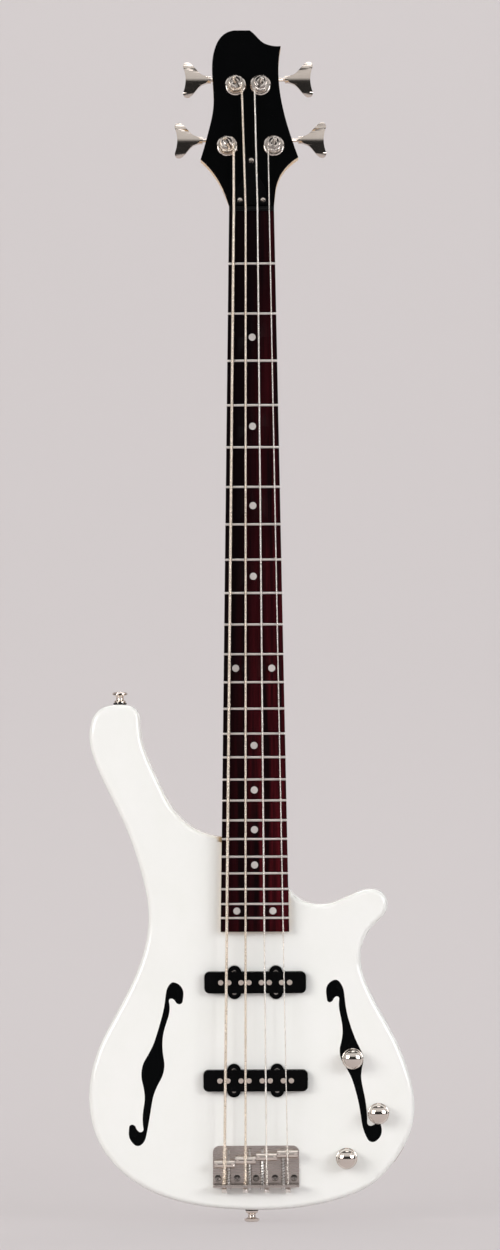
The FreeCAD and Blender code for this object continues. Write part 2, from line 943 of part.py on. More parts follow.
def make_truss_rod():
    low = (-rod_width / 2, glue_y + rod_clearance, board_end_z + rod_start_from_heel)
    high = (rod_width / 2, glue_y + rod_depth, nut_z + nut_thickness)
    bar = box_between(low, high)
    middle_y = glue_y + rod_depth - rod_nut_radius
    stem_length = rod_nut_from_nut
    stem = Part.makeCylinder(rod_stem_radius, stem_length, vec(0, middle_y, nut_z + nut_thickness))
    nut_start = nut_z + nut_thickness + rod_nut_from_nut - rod_nut_length + rod_nut_wall
    nut = Part.makeCylinder(rod_nut_radius, rod_nut_length, vec(0, middle_y, nut_start))
    bore_length = rod_nut_length - rod_nut_wall
    bore = Part.makeCylinder(rod_stem_radius + running_clearance, bore_length, vec(0, middle_y, nut_start))
    return [bar.fuse(stem), nut.cut(bore)]


def make_rod_cover():
    rod_cover_left = [(-x, s) for x, s in reversed(rod_cover_right)]
    wire = rounded_polygon(rod_cover_right + rod_cover_left, rod_cover_corner)
    cover = slab(wire, -veneer_thickness - rod_cover_thickness, -veneer_thickness)
    holes = place_screws(cover_screw, rod_cover_screw_places(), vec(0, -1, 0), screw_clearance)
    return on_head(cut_all(cover, holes))


def make_neck_plate():
    grow = -seat_clearance
    wire = rounded_box_wire(plate_size_x + 2 * grow, plate_size_z + 2 * grow, plate_corner)
    plate = slab(moved_wire(wire, 0, neck_plate_z()), back_y - plate_inset, back_y)
    return cut_all(plate, place_screws(neck_screw, neck_screw_places(), vec(0, 1, 0), screw_clearance))


# Tuning machines

def outward_sign(index):
    return -1 if post_places[index][0] < 0 else 1


def worm_centre(index):
    x, s = post_places[index]
    return vec(x, head_thickness + worm_axis_depth, s + worm_distance)


def ear_inner():
    return worm_lead * worm_turns / 2 + ear_gap


def make_tuner_plate(index):
    x, s = post_places[index]
    wire = rounded_polygon(
        [
            (x - plate_width / 2, s - plate_below),
            (x + plate_width / 2, s - plate_below),
            (x + plate_width / 2, s + plate_above),
            (x - plate_width / 2, s + plate_above),
        ],
        tuner_plate_corner,
    )
    plate = slab(wire, head_thickness, head_thickness + plate_thickness)
    centre = worm_centre(index)
    ears = []
    for side in (-1, 1):
        near = x + side * ear_inner()
        far = near + side * ear_thickness
        low = (min(near, far), head_thickness + plate_thickness / 2, centre.z - ear_half_width)
        ears.append(box_between(low, (max(near, far), centre.y, centre.z + ear_half_width)))
        crown = Part.makeCylinder(ear_half_width, ear_thickness)
        ears.append(stand(crown, vec(low[0], centre.y, centre.z), vec(1, 0, 0)))
    plate = plate.multiFuse(ears).removeSplitter()
    bore = Part.makeCylinder(worm_shaft_radius + running_clearance, plate_width)
    hole = Part.makeCylinder(post_radius + running_clearance, plate_thickness + 2 * cut_past)
    tools = [stand(bore, centre - vec(plate_width / 2, 0, 0), vec(1, 0, 0))]
    tools.append(stand(hole, vec(x, head_thickness - cut_past, s), vec(0, 1, 0)))
    tools += place_screws(cover_screw, tuner_screw_places(), vec(0, 1, 0), screw_clearance)
    return on_head(cut_all(plate, tools))


def make_bushing(index):
    x, s = post_places[index]
    bore = post_radius + running_clearance
    total = head_thickness + veneer_thickness
    profile = [
        (bore, 0),
        (bushing_sleeve_radius, 0),
        (bushing_sleeve_radius, total),
        (bushing_radius, total),
        (bushing_radius, total + bushing_rim),
        (bushing_radius - bushing_bevel, total + bushing_height),
        (bore, total + bushing_height),
    ]
    return on_head(stand(turned(profile), vec(x, head_thickness, s), vec(0, -1, 0)))


def post_base():
    return veneer_thickness + bushing_height + post_flange_gap


def gear_back():
    return head_thickness + worm_axis_depth + gear_width / 2


def make_post(index):
    x, s = post_places[index]
    gear_front = gear_back() - gear_width
    spigot = post_spigot_radius - gear_seat_clearance
    rivet = -gear_back() - rivet_gap
    base = post_base()
    waist_top = base + post_waist_length
    cap_top = waist_top + post_cap_length
    profile = [
        (0, rivet - rivet_height),
        (spigot + rivet_lip, rivet - rivet_height),
        (spigot + rivet_lip, rivet),
        (spigot, rivet),
        (spigot, -gear_front),
        (post_radius, -gear_front),
        (post_radius, base),
        (post_waist_radius, base + post_neck_taper),
        (post_waist_radius, waist_top - post_cap_bevel),
        (post_radius, waist_top),
        (post_radius, cap_top - post_cap_bevel),
        (post_radius - post_cap_bevel, cap_top),
        (0, cap_top),
    ]
    post = stand(turned(profile), vec(x, 0, s), vec(0, -1, 0))
    width = string_diameters[index] + post_slot_play
    floor = base + post_slot_floor
    top = cap_top + cut_past
    slot = box_between((-2 * post_radius, -top, -width / 2), (2 * post_radius, -floor, width / 2))
    slot.rotate(vec(0, 0, 0), vec(0, 1, 0), -winding_plan(index)["slot_angle"])
    slot.translate(vec(x, 0, s))
    return on_head(post.cut(slot))


def make_gear(index):
    x, s = post_places[index]
    pitch = 2 * math.pi / gear_teeth
    slope = math.tan(math.radians(flank_angle))
    half_pitch = tooth_share * worm_lead / 2
    tip_radius = gear_pitch_radius + tooth_addendum
    root_radius = gear_pitch_radius - tooth_dedendum
    half_tip = (half_pitch - tooth_addendum * slope) / tip_radius
    half_root = (half_pitch + tooth_dedendum * slope) / root_radius
    points = []
    for tooth in range(gear_teeth):
        middle = math.pi / 2 + (tooth + 0.5) * pitch
        rising = [(root_radius, -half_root), (tip_radius, -half_tip)]
        flank = rising + [(tip_radius, half_tip), (root_radius, half_root)]
        points += [(x + r * math.cos(middle + a), s + r * math.sin(middle + a)) for r, a in flank]
    blank = slab(polygon_wire(points), gear_back() - gear_width, gear_back())
    hole = Part.makeCylinder(post_spigot_radius, gear_back() - head_thickness)
    return on_head(blank.cut(stand(hole, vec(x, head_thickness, s), vec(0, 1, 0))))


def worm_thread():
    slope = math.tan(math.radians(flank_angle))
    half_pitch = worm_share * worm_lead / 2
    crest = worm_pitch_radius + tooth_addendum
    root = worm_pitch_radius - tooth_dedendum - worm_root_sink
    half_crest = half_pitch - tooth_addendum * slope
    half_root = half_pitch + (worm_pitch_radius - root) * slope
    height = worm_lead * worm_turns - 2 * half_root
    helix = Part.makeHelix(worm_lead, height, worm_pitch_radius)
    lower = [vec(root, 0, -half_root), vec(crest, 0, -half_crest)]
    corners = lower + [vec(crest, 0, half_crest), vec(root, 0, half_root)]
    profile = Part.makePolygon(corners + corners[:1])
    thread = Part.Wire(helix).makePipeShell([profile], True, True)
    thread.translate(vec(0, 0, -height / 2))
    thread.rotate(vec(0, 0, 0), vec(0, 0, 1), -180.0 * height / worm_lead)
    return thread


def key_crown():
    half = key_thickness / 2
    drop = half - key_edge_thickness / 2
    bow = (key_crown_run ** 2 + drop ** 2) / (2 * drop)
    length = key_tip[-1][0] + cut_past
    lens = [Part.makeCylinder(bow, length, vec(0, side * (bow - half), 0), vec(1, 0, 0)) for side in (-1, 1)]
    return lens[0].common(lens[1])


def key_root():
    widest = key_root_profile[-1][0]
    end = key_tip[-1][0] + cut_past
    profile = [(0, 0)] + key_root_profile + [(widest, end), (0, end)]
    return stand(turned(profile), vec(0, 0, 0), vec(1, 0, 0))


def key_button():
    mirrored = [(u, -v) for u, v in key_inner_edge]
    lower_tip = [(u, -v) for u, v in key_tip]
    dip = [key_tip[-1], (key_outer_dip, 0), lower_tip[-1]]
    edges = [
        spline_edge(key_inner_edge),
        spline_edge(key_tip),
        spline_edge(dip),
        spline_edge(lower_tip[::-1]),
        spline_edge(mirrored[::-1]),
        line_edge(mirrored[0], key_inner_edge[0]),
    ]
    blade = slab(Part.Wire(edges), -key_thickness / 2, key_thickness / 2)
    blade = blade.common(key_crown()).common(key_root())
    collar = Part.makeCylinder(key_collar_radius, key_collar_length, vec(0, 0, 0), vec(-1, 0, 0))
    mouth = vec(-key_collar_length, 0, 0)
    socket = Part.makeCylinder(worm_shaft_radius, key_socket + key_collar_length, mouth, vec(1, 0, 0))
    return blade.fuse(collar).cut(socket)


def make_key(index):
    centre = worm_centre(index)
    side = outward_sign(index)
    core = worm_pitch_radius - tooth_dedendum
    half = worm_lead * worm_turns / 2
    tail = ear_inner() + ear_thickness + worm_tail
    shaft = Part.makeCylinder(core, 2 * half, vec(0, 0, -half)).fuse(worm_thread())
    length = tail + key_reach + key_socket - key_socket_gap
    journal = Part.makeCylinder(worm_shaft_radius, length, vec(0, 0, -tail))
    shaft = shaft.fuse(journal)
    turn = FreeCAD.Rotation(vec(0, 0, -1), vec(0, side, 0), vec(side, 0, 0), "ZXY")
    shaft.Placement = FreeCAD.Placement(centre, turn)
    button = key_button()
    if side < 0:
        button = button.mirror(vec(0, 0, 0), vec(1, 0, 0))
    button.translate(centre + vec(side * key_reach, 0, 0))
    return [on_head(shaft), on_head(button)]


# Bridge

def saddle_z(index):
    return saddle_line_z - saddle_setbacks[index]


def groove_reach(index):
    return saddle_groove_radius + string_diameters[index] / 2 * math.sqrt(2) + saddle_string_gap


def saddle_axis_y(index):
    x = string_spread(index, bridge_string_spacing)
    radius = string_diameters[index] / 2
    string_y = board_top_y - string_rise_at_saddle - radius + crown_drop(x)
    return string_y + groove_reach(index)


def intonation_x(index):
    x = string_spread(index, bridge_string_spacing)
    return x - math.copysign(intonation_offset, x)


def string_line(index):
    bridge_x = string_spread(index, bridge_string_spacing)
    nut_x = string_spread(index, nut_string_spacing)
    radius = string_diameters[index] / 2
    nut_y = board_top_y - string_rise_at_nut - radius + crown_drop(nut_x)
    nut = vec(nut_x, nut_y, nut_z + nut_thickness / 2)
    centre_z = saddle_z(index)
    centre_up = -saddle_axis_y(index)
    reach = groove_reach(index)
    ball_z = bridge_lip_z - ball_radius - spring_end_gap
    ball_up = -front_y + ball_rise
    rise = centre_up - ball_up
    run = centre_z - ball_z
    climb = math.atan2(rise, run) + math.asin(reach / math.hypot(rise, run))
    top_up = centre_up + reach
    slope = (-nut.y - top_up) / (nut.z - centre_z)
    corner_run = (top_up - slope * run - ball_up) / (math.tan(climb) - slope)

    def at(z, up):
        share = (z - centre_z) / (nut.z - centre_z)
        return vec(bridge_x + (nut_x - bridge_x) * share, -up, z)

    corner = at(ball_z + corner_run, ball_up + corner_run * math.tan(climb))
    winding = winding_plan(index)
    leave = winding["start"] - nut
    leave.normalize()
    return {"ball": at(ball_z, ball_up), "corner": corner, "nut": nut, "leave": leave, "reach": reach}


def winding_plan(index):
    radius = string_diameters[index] / 2
    x, s = post_places[index]
    side = outward_sign(index)
    nut_x = string_spread(index, nut_string_spacing)
    nut_s = nut_thickness / 2
    orbit = post_waist_radius + radius + winding_clearance
    pitch = string_diameters[index] + winding_gap
    end_height = post_base() + post_slot_floor + spring_end_gap + radius
    start_height = end_height - winding_turns[index] * pitch
    away = math.hypot(x - nut_x, s - nut_s)
    aim = math.atan2(s - nut_s, x - nut_x) + side * math.asin(orbit / away)
    first = aim + side * math.pi / 2
    spin = -side
    bend = tail_bend_share * string_diameters[index]
    turn_in = math.acos(-bend / (orbit - bend))

    def spot(angle):
        height = start_height + pitch * abs(angle - first) / (2 * math.pi)
        return vec(x + orbit * math.cos(angle), -height, s + orbit * math.sin(angle))

    def heading(angle):
        climb = pitch / (2 * math.pi)
        direction = vec(-spin * orbit * math.sin(angle), -climb, spin * orbit * math.cos(angle))
        direction.normalize()
        return direction

    quarters = int(round(winding_turns[index] * 4))
    angles = [first + spin * k * math.pi / 2 for k in range(quarters + 1)]
    last = angles[-1]
    slot = last + spin * (turn_in - math.pi / 2)
    fine = [first + spin * k * math.pi / 18 for k in range(quarters * 9 + 1)]
    outward = vec(math.cos(last), 0, math.sin(last))
    middle = spot(last) - outward * bend

    def bend_point(angle):
        direction = last + spin * angle
        return middle + vec(math.cos(direction), 0, math.sin(direction)) * bend

    return {
        "start": head_frame.multVec(spot(first)),
        "spots": [head_frame.multVec(spot(a)) for a in angles],
        "headings": [head_frame.Rotation.multVec(heading(a)) for a in angles],
        "samples": [spot(a) for a in fine],
        "tail": [head_frame.multVec(bend_point(turn_in * k / 2)) for k in range(3)],
        "tail_end": head_frame.multVec(vec(x, spot(last).y, s)),
        "slot_angle": math.degrees(slot),
    }


def string_route(index):
    line = string_line(index)
    winding = winding_plan(index)
    points = [line["ball"], line["corner"], line["nut"], winding["start"]]
    edges = rounded_route(points, [line["reach"], nut_bend_radius])
    headings = winding["headings"]
    headings[0] = line["leave"]
    spots = winding["spots"]
    last = len(spots) - 1
    bend_start = vec(*winding["tail"][0])
    flat = arc_tangent(winding["tail"])
    headings[last] = flat
    for k in range(last):
        edges += biarc(spots[k], headings[k], spots[k + 1], headings[k + 1])
    edges.append(Part.Arc(bend_start, winding["tail"][1], winding["tail"][2]).toShape())
    edges.append(Part.LineSegment(winding["tail"][2], winding["tail_end"]).toShape())
    return edges, points


def arc_tangent(points):
    arc = Part.Arc(points[0], points[1], points[2])
    tangent = vec(*arc.tangent(arc.FirstParameter)[0])
    return tangent


def make_string(index):
    edges, points = string_route(index)
    radius = string_diameters[index] / 2
    direction = points[1] - points[0]
    cord = tube(edges, points[0], direction, radius, string_facets)
    ball = Part.makeCylinder(ball_radius, ball_width, points[0] - vec(ball_width / 2, 0, 0), vec(1, 0, 0))
    gap = least_gap(winding_plan(index)["samples"], 20, string_diameters[index])
    print("string", string_names[index], "winding gap", round(gap, 2), "volume", round(cord.Volume, 1))
    return cord.fuse(ball)


def make_bridge_plate():
    half = bridge_width / 2
    low_z = bridge_lip_z
    high_z = bridge_lip_z + bridge_length
    base = box_between((-half, plate_top_y, low_z), (half, front_y, high_z))
    front_corners = []
    for edge in base.Edges:
        centre = edge.CenterOfMass
        if edge.BoundBox.YLength > 1 and centre.z > high_z - 1:
            front_corners.append(edge)
    base = base.makeFillet(bridge_corner, front_corners)
    lip_top = front_y - bridge_lip_height
    lip = box_between((-half, lip_top, low_z), (half, front_y, low_z + bridge_lip_thickness))
    plate = base.fuse(lip).removeSplitter()
    tools = place_screws(bridge_screw, bridge_screw_places(), vec(0, -1, 0), screw_clearance)
    for index in range(string_count):
        line = string_line(index)
        path = line["corner"] - line["ball"]
        hole = Part.makeCylinder(string_diameters[index] / 2 + string_hole_play, ball_radius + 3 * cut_past)
        tools.append(stand(hole, line["ball"], path))
        bore = Part.makeCylinder(intonation_radius + running_clearance, bridge_lip_thickness + 2 * cut_past)
        bore_start = vec(intonation_x(index), saddle_axis_y(index), low_z - cut_past)
        tools.append(stand(bore, bore_start, vec(0, 0, 1)))
    return cut_all(plate, tools)


def height_screw_ends(index):
    top_y = saddle_axis_y(index) - saddle_radius + height_screw_recess
    return plate_top_y - seat_clearance, top_y


def height_screw_blank(index, slack, past):
    low_y, top_y = height_screw_ends(index)
    radius = height_screw_radius + slack
    post = faceted([(radius, 0), (radius, low_y - top_y + past)], screw_sides)
    x = string_spread(index, bridge_string_spacing)
    places = [vec(x + side * height_screw_offset, low_y, saddle_z(index)) for side in (-1, 1)]
    return [stand(post, place, vec(0, -1, 0)) for place in places]


def make_saddle(index):
    x = string_spread(index, bridge_string_spacing)
    start = vec(x - saddle_length / 2, saddle_axis_y(index), saddle_z(index))
    barrel = Part.makeCylinder(saddle_radius, saddle_length, start, vec(1, 0, 0))
    depth = saddle_radius - saddle_groove_radius
    wide = saddle_radius + cut_past
    groove = turned([(saddle_groove_radius, 0), (wide, -depth - cut_past), (wide, depth + cut_past)])
    tools = [stand(groove, vec(x, start.y, start.z), vec(1, 0, 0))]
    bore = Part.makeCylinder(intonation_radius + running_clearance, 2 * wide)
    tools.append(stand(bore, vec(intonation_x(index), start.y, start.z - wide), vec(0, 0, 1)))
    tools += height_screw_blank(index, screw_clearance, cut_past)
    return [cut_all(barrel, tools)] + height_screw_blank(index, 0.0, 0.0)


def make_intonation_screw(index):
    length = intonation_tip_z - bridge_lip_z
    head_start = seat_clearance + intonation_head_length
    profile = [
        (0, -head_start),
        (intonation_head_radius, -head_start),
        (intonation_head_radius, -seat_clearance),
        (intonation_radius, -seat_clearance),
        (intonation_radius, length),
        (0, length),
    ]
    seat = vec(intonation_x(index), saddle_axis_y(index), bridge_lip_z)
    return stand(turned(profile), seat, vec(0, 0, 1))


def make_spring(index):
    start_z = bridge_lip_z + bridge_lip_thickness + spring_end_gap + spring_wire / 2
    end_z = saddle_z(index) - saddle_radius - spring_end_gap - spring_wire / 2
    turns = round((end_z - start_z) / spring_pitch)
    pitch = (end_z - start_z) / turns
    centre = vec(intonation_x(index), saddle_axis_y(index), start_z)

    def spot(angle):
        climb = pitch * angle / (2 * math.pi)
        return centre + vec(spring_radius * math.cos(angle), spring_radius * math.sin(angle), climb)

    def heading(angle):
        across = vec(-math.sin(angle), math.cos(angle), 0) * spring_radius
        direction = across + vec(0, 0, pitch / (2 * math.pi))
        direction.normalize()
        return direction

    edges = []
    for k in range(turns * 4):
        first = k * math.pi / 2
        second = first + math.pi / 2
        edges += biarc(spot(first), heading(first), spot(second), heading(second))
    samples = [spot(k * math.pi / 18) for k in range(turns * 36 + 1)]
    gap = least_gap(samples, 20, spring_wire)
    print("spring", string_names[index], "turns", turns, "gap", round(gap, 2))
    sector = math.sin(2 * math.pi / spring_facets) * spring_facets / (2 * math.pi)
    return tube(edges, spot(0), heading(0), spring_wire / 2 / math.sqrt(sector), spring_facets)


# Pickups

def pole_places(index):
    z = pickup_z(index)
    spacing = pickups[index][3]
    places = []
    for string in range(string_count):
        for side in (-1, 1):
            places.append((string_spread(string, spacing) + side * pole_pair / 2, z))
    return places


def pole_column(index, radius, top_y, length):
    column = Part.makeCylinder(radius, length)
    return [stand(column, vec(x, top_y, z), vec(0, 1, 0)) for x, z in pole_places(index)]


def cover_top_y():
    return front_y - cover_rise


def make_pickup_cover(index):
    top = cover_top_y()
    low = front_y - ear_rise
    cover = cover_blank(index, 0, low, low + ear_thickness_cover, top, front_y + cover_depth)
    length = pickups[index][1] - 2 * cover_wall
    wire = rounded_box_wire(length, cover_width - 2 * cover_wall, cover_corner - cover_wall)
    hollow = slab(moved_wire(wire, 0, pickup_z(index)), top + cover_wall, front_y + cover_depth)
    pole_bore = pole_radius + seat_clearance
    tools = [hollow] + pole_column(index, pole_bore, top - cut_past, cover_wall + 2 * cut_past)
    tools += place_screws(pickup_screw, pickup_screw_places(), vec(0, -1, 0), screw_clearance)
    return cut_all(cover, tools)


def flange_wire(index, margin):
    length = pickups[index][1] - 2 * cover_wall - 2 * margin
    width = cover_width - 2 * cover_wall - 2 * margin
    corner = max(cover_corner - cover_wall - margin, 0.8)
    return moved_wire(rounded_box_wire(length, width, corner), 0, pickup_z(index))


def bobbin_levels():
    upper = cover_top_y() + cover_wall
    lower = cover_top_y() - pole_proud + pole_length - flange_thickness
    return upper, lower


def make_bobbins():
    pieces = []
    for index in range(len(pickups)):
        upper, lower = bobbin_levels()
        pole_bore = pole_radius + seat_clearance
        holes = pole_column(index, pole_bore, upper - cut_past, pole_length + 2 * cut_past)
        for low_y in (upper, lower):
            flange = slab(flange_wire(index, flange_margin), low_y, low_y + flange_thickness)
            pieces.append(cut_all(flange, holes))
    return pieces


def make_coils():
    pieces = []
    for index in range(len(pickups)):
        upper, lower = bobbin_levels()
        coil = slab(flange_wire(index, coil_margin), upper + flange_thickness, lower)
        row = abs(pole_places(index)[0][0]) * 2
        eye_width = 2 * (pole_radius + coil_eye_gap)
        eye = rounded_box_wire(row + eye_width, eye_width, pole_radius)
        pieces.append(coil.cut(slab(moved_wire(eye, 0, pickup_z(index)), upper, lower)))
    return pieces


def make_poles():
    pieces = []
    for index in range(len(pickups)):
        pieces += pole_column(index, pole_radius, cover_top_y() - pole_proud, pole_length)
    return pieces


def make_foam_pads():
    pads = []
    upper, lower = bobbin_levels()
    for index in range(len(pickups)):
        half = lead_x - channel_radius - foam_end_gap
        z = pickup_z(index)
        low = (-half, lower + flange_thickness, z - foam_width / 2)
        pads.append(box_between(low, (half, front_y + pickup_pocket_depth, z + foam_width / 2)))
    return pads


# Controls and jack

def make_pots():
    pots = []
    wall_y = front_y + front_wall
    for x, z in knob_places:
        profile = [
            (0, -pot_height),
            (pot_radius, -pot_height),
            (pot_radius, 0),
            (pot_bushing_radius, 0),
            (pot_bushing_radius, front_wall + pot_bushing_rise),
            (shaft_radius + running_clearance, front_wall + pot_bushing_rise),
            (shaft_radius + running_clearance, -pot_bore_depth),
            (0, -pot_bore_depth),
        ]
        pots.append(stand(turned(profile), vec(x, wall_y, z), vec(0, -1, 0)))
    return pots


def make_pot_nuts():
    nuts = []
    for x, z in knob_places:
        nut = faceted([(pot_nut_radius, 0), (pot_nut_radius, pot_nut_height)], screw_sides)
        nut = nut.cut(Part.makeCylinder(pot_bushing_radius + seat_clearance, pot_nut_height))
        nuts.append(stand(nut, vec(x, front_y, z), vec(0, -1, 0)))
    return nuts


def knob_profile():
    top = knob_gap + knob_height
    rim = knob_dome_radius
    sphere = (rim ** 2 + knob_shoulder ** 2) / (2 * knob_shoulder)
    half_angle = math.asin(rim / sphere) / 2
    start = vec(rim, 0, top - knob_shoulder)
    crest = vec(0, 0, top)
    middle = vec(sphere * math.sin(half_angle), 0, top - sphere * (1 - math.cos(half_angle)))
    points = [
        vec(0, 0, knob_gap + knob_recess_depth),
        vec(knob_recess_radius, 0, knob_gap + knob_recess_depth),
        vec(knob_recess_radius, 0, knob_gap),
        vec(knob_radius, 0, knob_gap),
        vec(knob_radius, 0, knob_gap + knob_band),
        start,
    ]
    edges = [Part.LineSegment(points[k], points[k + 1]).toShape() for k in range(len(points) - 1)]
    edges.append(Part.Arc(start, middle, crest).toShape())
    edges.append(Part.LineSegment(crest, points[0]).toShape())
    return Part.Face(Part.Wire(edges))


def make_knob(index):
    x, z = knob_places[index]
    dome = knob_profile().revolve(vec(0, 0, 0), vec(0, 0, 1), 360)
    top = knob_gap + knob_height - knob_shoulder
    bore = Part.makeCylinder(shaft_radius + knob_grip_clearance, top)
    shaft_start = -front_wall - pot_bore_depth + shaft_end_gap
    shaft = Part.makeCylinder(shaft_radius, top - shaft_start - shaft_top_gap, vec(0, 0, shaft_start))
    return [stand(piece, vec(x, front_y, z), vec(0, -1, 0)) for piece in (dome.cut(bore), shaft)]


def make_control_cover():
    wire = cavity_wire(cover_ledge - control_cover_clearance)
    plate = slab(wire, back_y - control_cover_thickness, back_y)
    return cut_all(plate, place_screws(cover_screw, control_screw_places(), vec(0, 1, 0), screw_clearance))


def make_jack():
    base, outward = jack_frame()
    barrel = Part.makeCylinder(jack_radius, jack_length)
    bore = Part.makeCylinder(jack_bore_radius, jack_bore_depth)
    face = base + outward * jack_flange_proud
    return stand(barrel, face, outward * -1).cut(stand(bore, face, outward * -1))


def make_jack_flange():
    base, outward = jack_frame()
    seat = base - outward * (jack_flange_height - jack_flange_proud)
    profile = [
        (jack_radius + seat_clearance, 0),
        (jack_flange_radius, 0),
        (jack_flange_radius, jack_flange_rim),
        (jack_flange_radius - jack_flange_bevel, jack_flange_height),
        (jack_radius + seat_clearance, jack_flange_height),
    ]
    return stand(turned(profile), seat, outward)


def lead(points, bends):
    edges = rounded_route(points, bends)
    direction = points[1] - points[0]
    return tube(edges, points[0], direction, lead_diameter / 2, lead_facets)


def make_leads():
    neck_z = pickup_z(0)
    bridge_z = pickup_z(1)
    upper, lower = bobbin_levels()
    under = lower + flange_thickness + lead_gap
    volume = vec(knob_places[0][0], 0, knob_places[0][1])
    balance = vec(knob_places[1][0], 0, knob_places[1][1])
    can_y = front_y + front_wall + pot_height + lead_gap + lead_diameter / 2
    base, outward = jack_frame()
    jack_back = base + outward * (jack_flange_proud - jack_length - lead_gap)
    neck_lead = [
        vec(lead_x, under, neck_z),
        vec(lead_x, lead_y, neck_z),
        vec(lead_x, lead_y, bridge_z),
        vec(volume.x - pot_radius, lead_y, bridge_z),
        vec(volume.x, can_y, volume.z - 4),
    ]
    bends = [lead_entry_bend, lead_bend, lead_cavity_bend]
    return [lead(neck_lead, bends)] + jack_leads(jack_back, outward, balance, can_y)


def jack_leads(jack_back, outward, balance, can_y):
    inner = jack_back - outward * 9
    points = [jack_back, inner, vec(inner.x - 6, can_y, inner.z + 14), vec(balance.x - 4, can_y, balance.z)]
    return [lead(points, jack_lead_bends)]


# Straps

def make_button(base, outward):
    base = base + outward * washer_thickness
    profile = [
        (button_bore, 0),
        (button_base_radius, 0),
        (button_base_radius, button_base_height),
        (button_waist, button_base_height + button_flare),
        (button_waist, button_height - button_head_height - button_rim),
        (button_radius, button_height - button_head_height),
        (button_radius, button_height - button_bevel_height),
        (button_radius - button_bevel, button_height),
        (strap_screw[0] + button_screw_gap, button_height),
        (button_bore, button_height - strap_screw[2] - button_screw_gap),
    ]
    return stand(turned(profile), base, outward)


def make_washer(base, outward):
    washer = Part.makeCylinder(washer_radius, washer_thickness)
    washer = washer.cut(Part.makeCylinder(button_bore, washer_thickness))
    return stand(washer, base, outward)


up = vec(0, 0, 1)
down = vec(0, 0, -1)
button_places = [(horn_button_place(), up), (tail_button_place(), down)]
upper_screw, lower_screw = strap_screw_places()
strap_screws = place_screws(strap_screw, [upper_screw], up) + place_screws(strap_screw, [lower_screw], down)
control_screws = place_screws(cover_screw, control_screw_places(), vec(0, 1, 0))

nodes = {
    "body": [make_body()],
    "f_hole_inlays": make_inlays(),
    "neck": [make_neck()],
    "fingerboard": [make_board()],
    "frets": make_frets(),
    "position_markers": make_markers(),
    "nut": [make_nut()],
    "headstock_veneer": [make_veneer()],
    "truss_rod": make_truss_rod(),
    "truss_rod_cover": [make_rod_cover()],
    "neck_plate": [make_neck_plate()],
    "neck_screws": place_screws(neck_screw, neck_screw_places(), vec(0, 1, 0)),
    "cover_screws": [on_head(piece) for piece in head_screws(0.0)] + control_screws,
    "tuner_plates": [make_tuner_plate(index) for index in range(string_count)],
    "tuner_bushings": [make_bushing(index) for index in range(string_count)],
    "bridge_plate": [make_bridge_plate()],
    "mounting_screws": place_screws(bridge_screw, bridge_screw_places(), vec(0, -1, 0)) + strap_screws,
    "pickup_bobbins": make_bobbins(),
    "pickup_coils": make_coils(),
    "pole_pieces": make_poles(),
    "pickup_foam_pads": make_foam_pads(),
    "pickup_screws": place_screws(pickup_screw, pickup_screw_places(), vec(0, -1, 0)),
    "pots": make_pots(),
    "pot_nuts": make_pot_nuts(),
    "control_cover": [make_control_cover()],
    "output_jack": [make_jack()],
    "jack_flange": [make_jack_flange()],
    "wiring_leads": make_leads(),
    "strap_buttons": [make_button(base, outward) for base, outward in button_places],
    "strap_washers": [make_washer(base, outward) for base, outward in button_places],
    "intonation_springs": [make_spring(index) for index in range(string_count)],
}
for index, name in enumerate(pickup_names):
    nodes[name + "_cover"] = [make_pickup_cover(index)]
for index, name in enumerate(knob_names):
    nodes[name] = make_knob(index)
for index, name in enumerate(string_names):
    nodes["string_" + name] = [make_string(index)]
    nodes["tuner_post_" + name] = [make_post(index)]
    nodes["tuner_gear_" + name] = [make_gear(index)]
    nodes["tuner_key_" + name] = make_key(index)
    nodes["saddle_" + name] = make_saddle(index)
    nodes["intonation_screw_" + name] = [make_intonation_screw(index)]

os.makedirs("parts", exist_ok=True)
for name, solids in nodes.items():
    shape = solids[0] if len(solids) == 1 else Part.makeCompound(solids)
    shape.exportStep("parts/" + name + ".step")
print("nodes", len(nodes))
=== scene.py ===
import json
import math

import bmesh
import bpy
from mathutils import Matrix, Vector

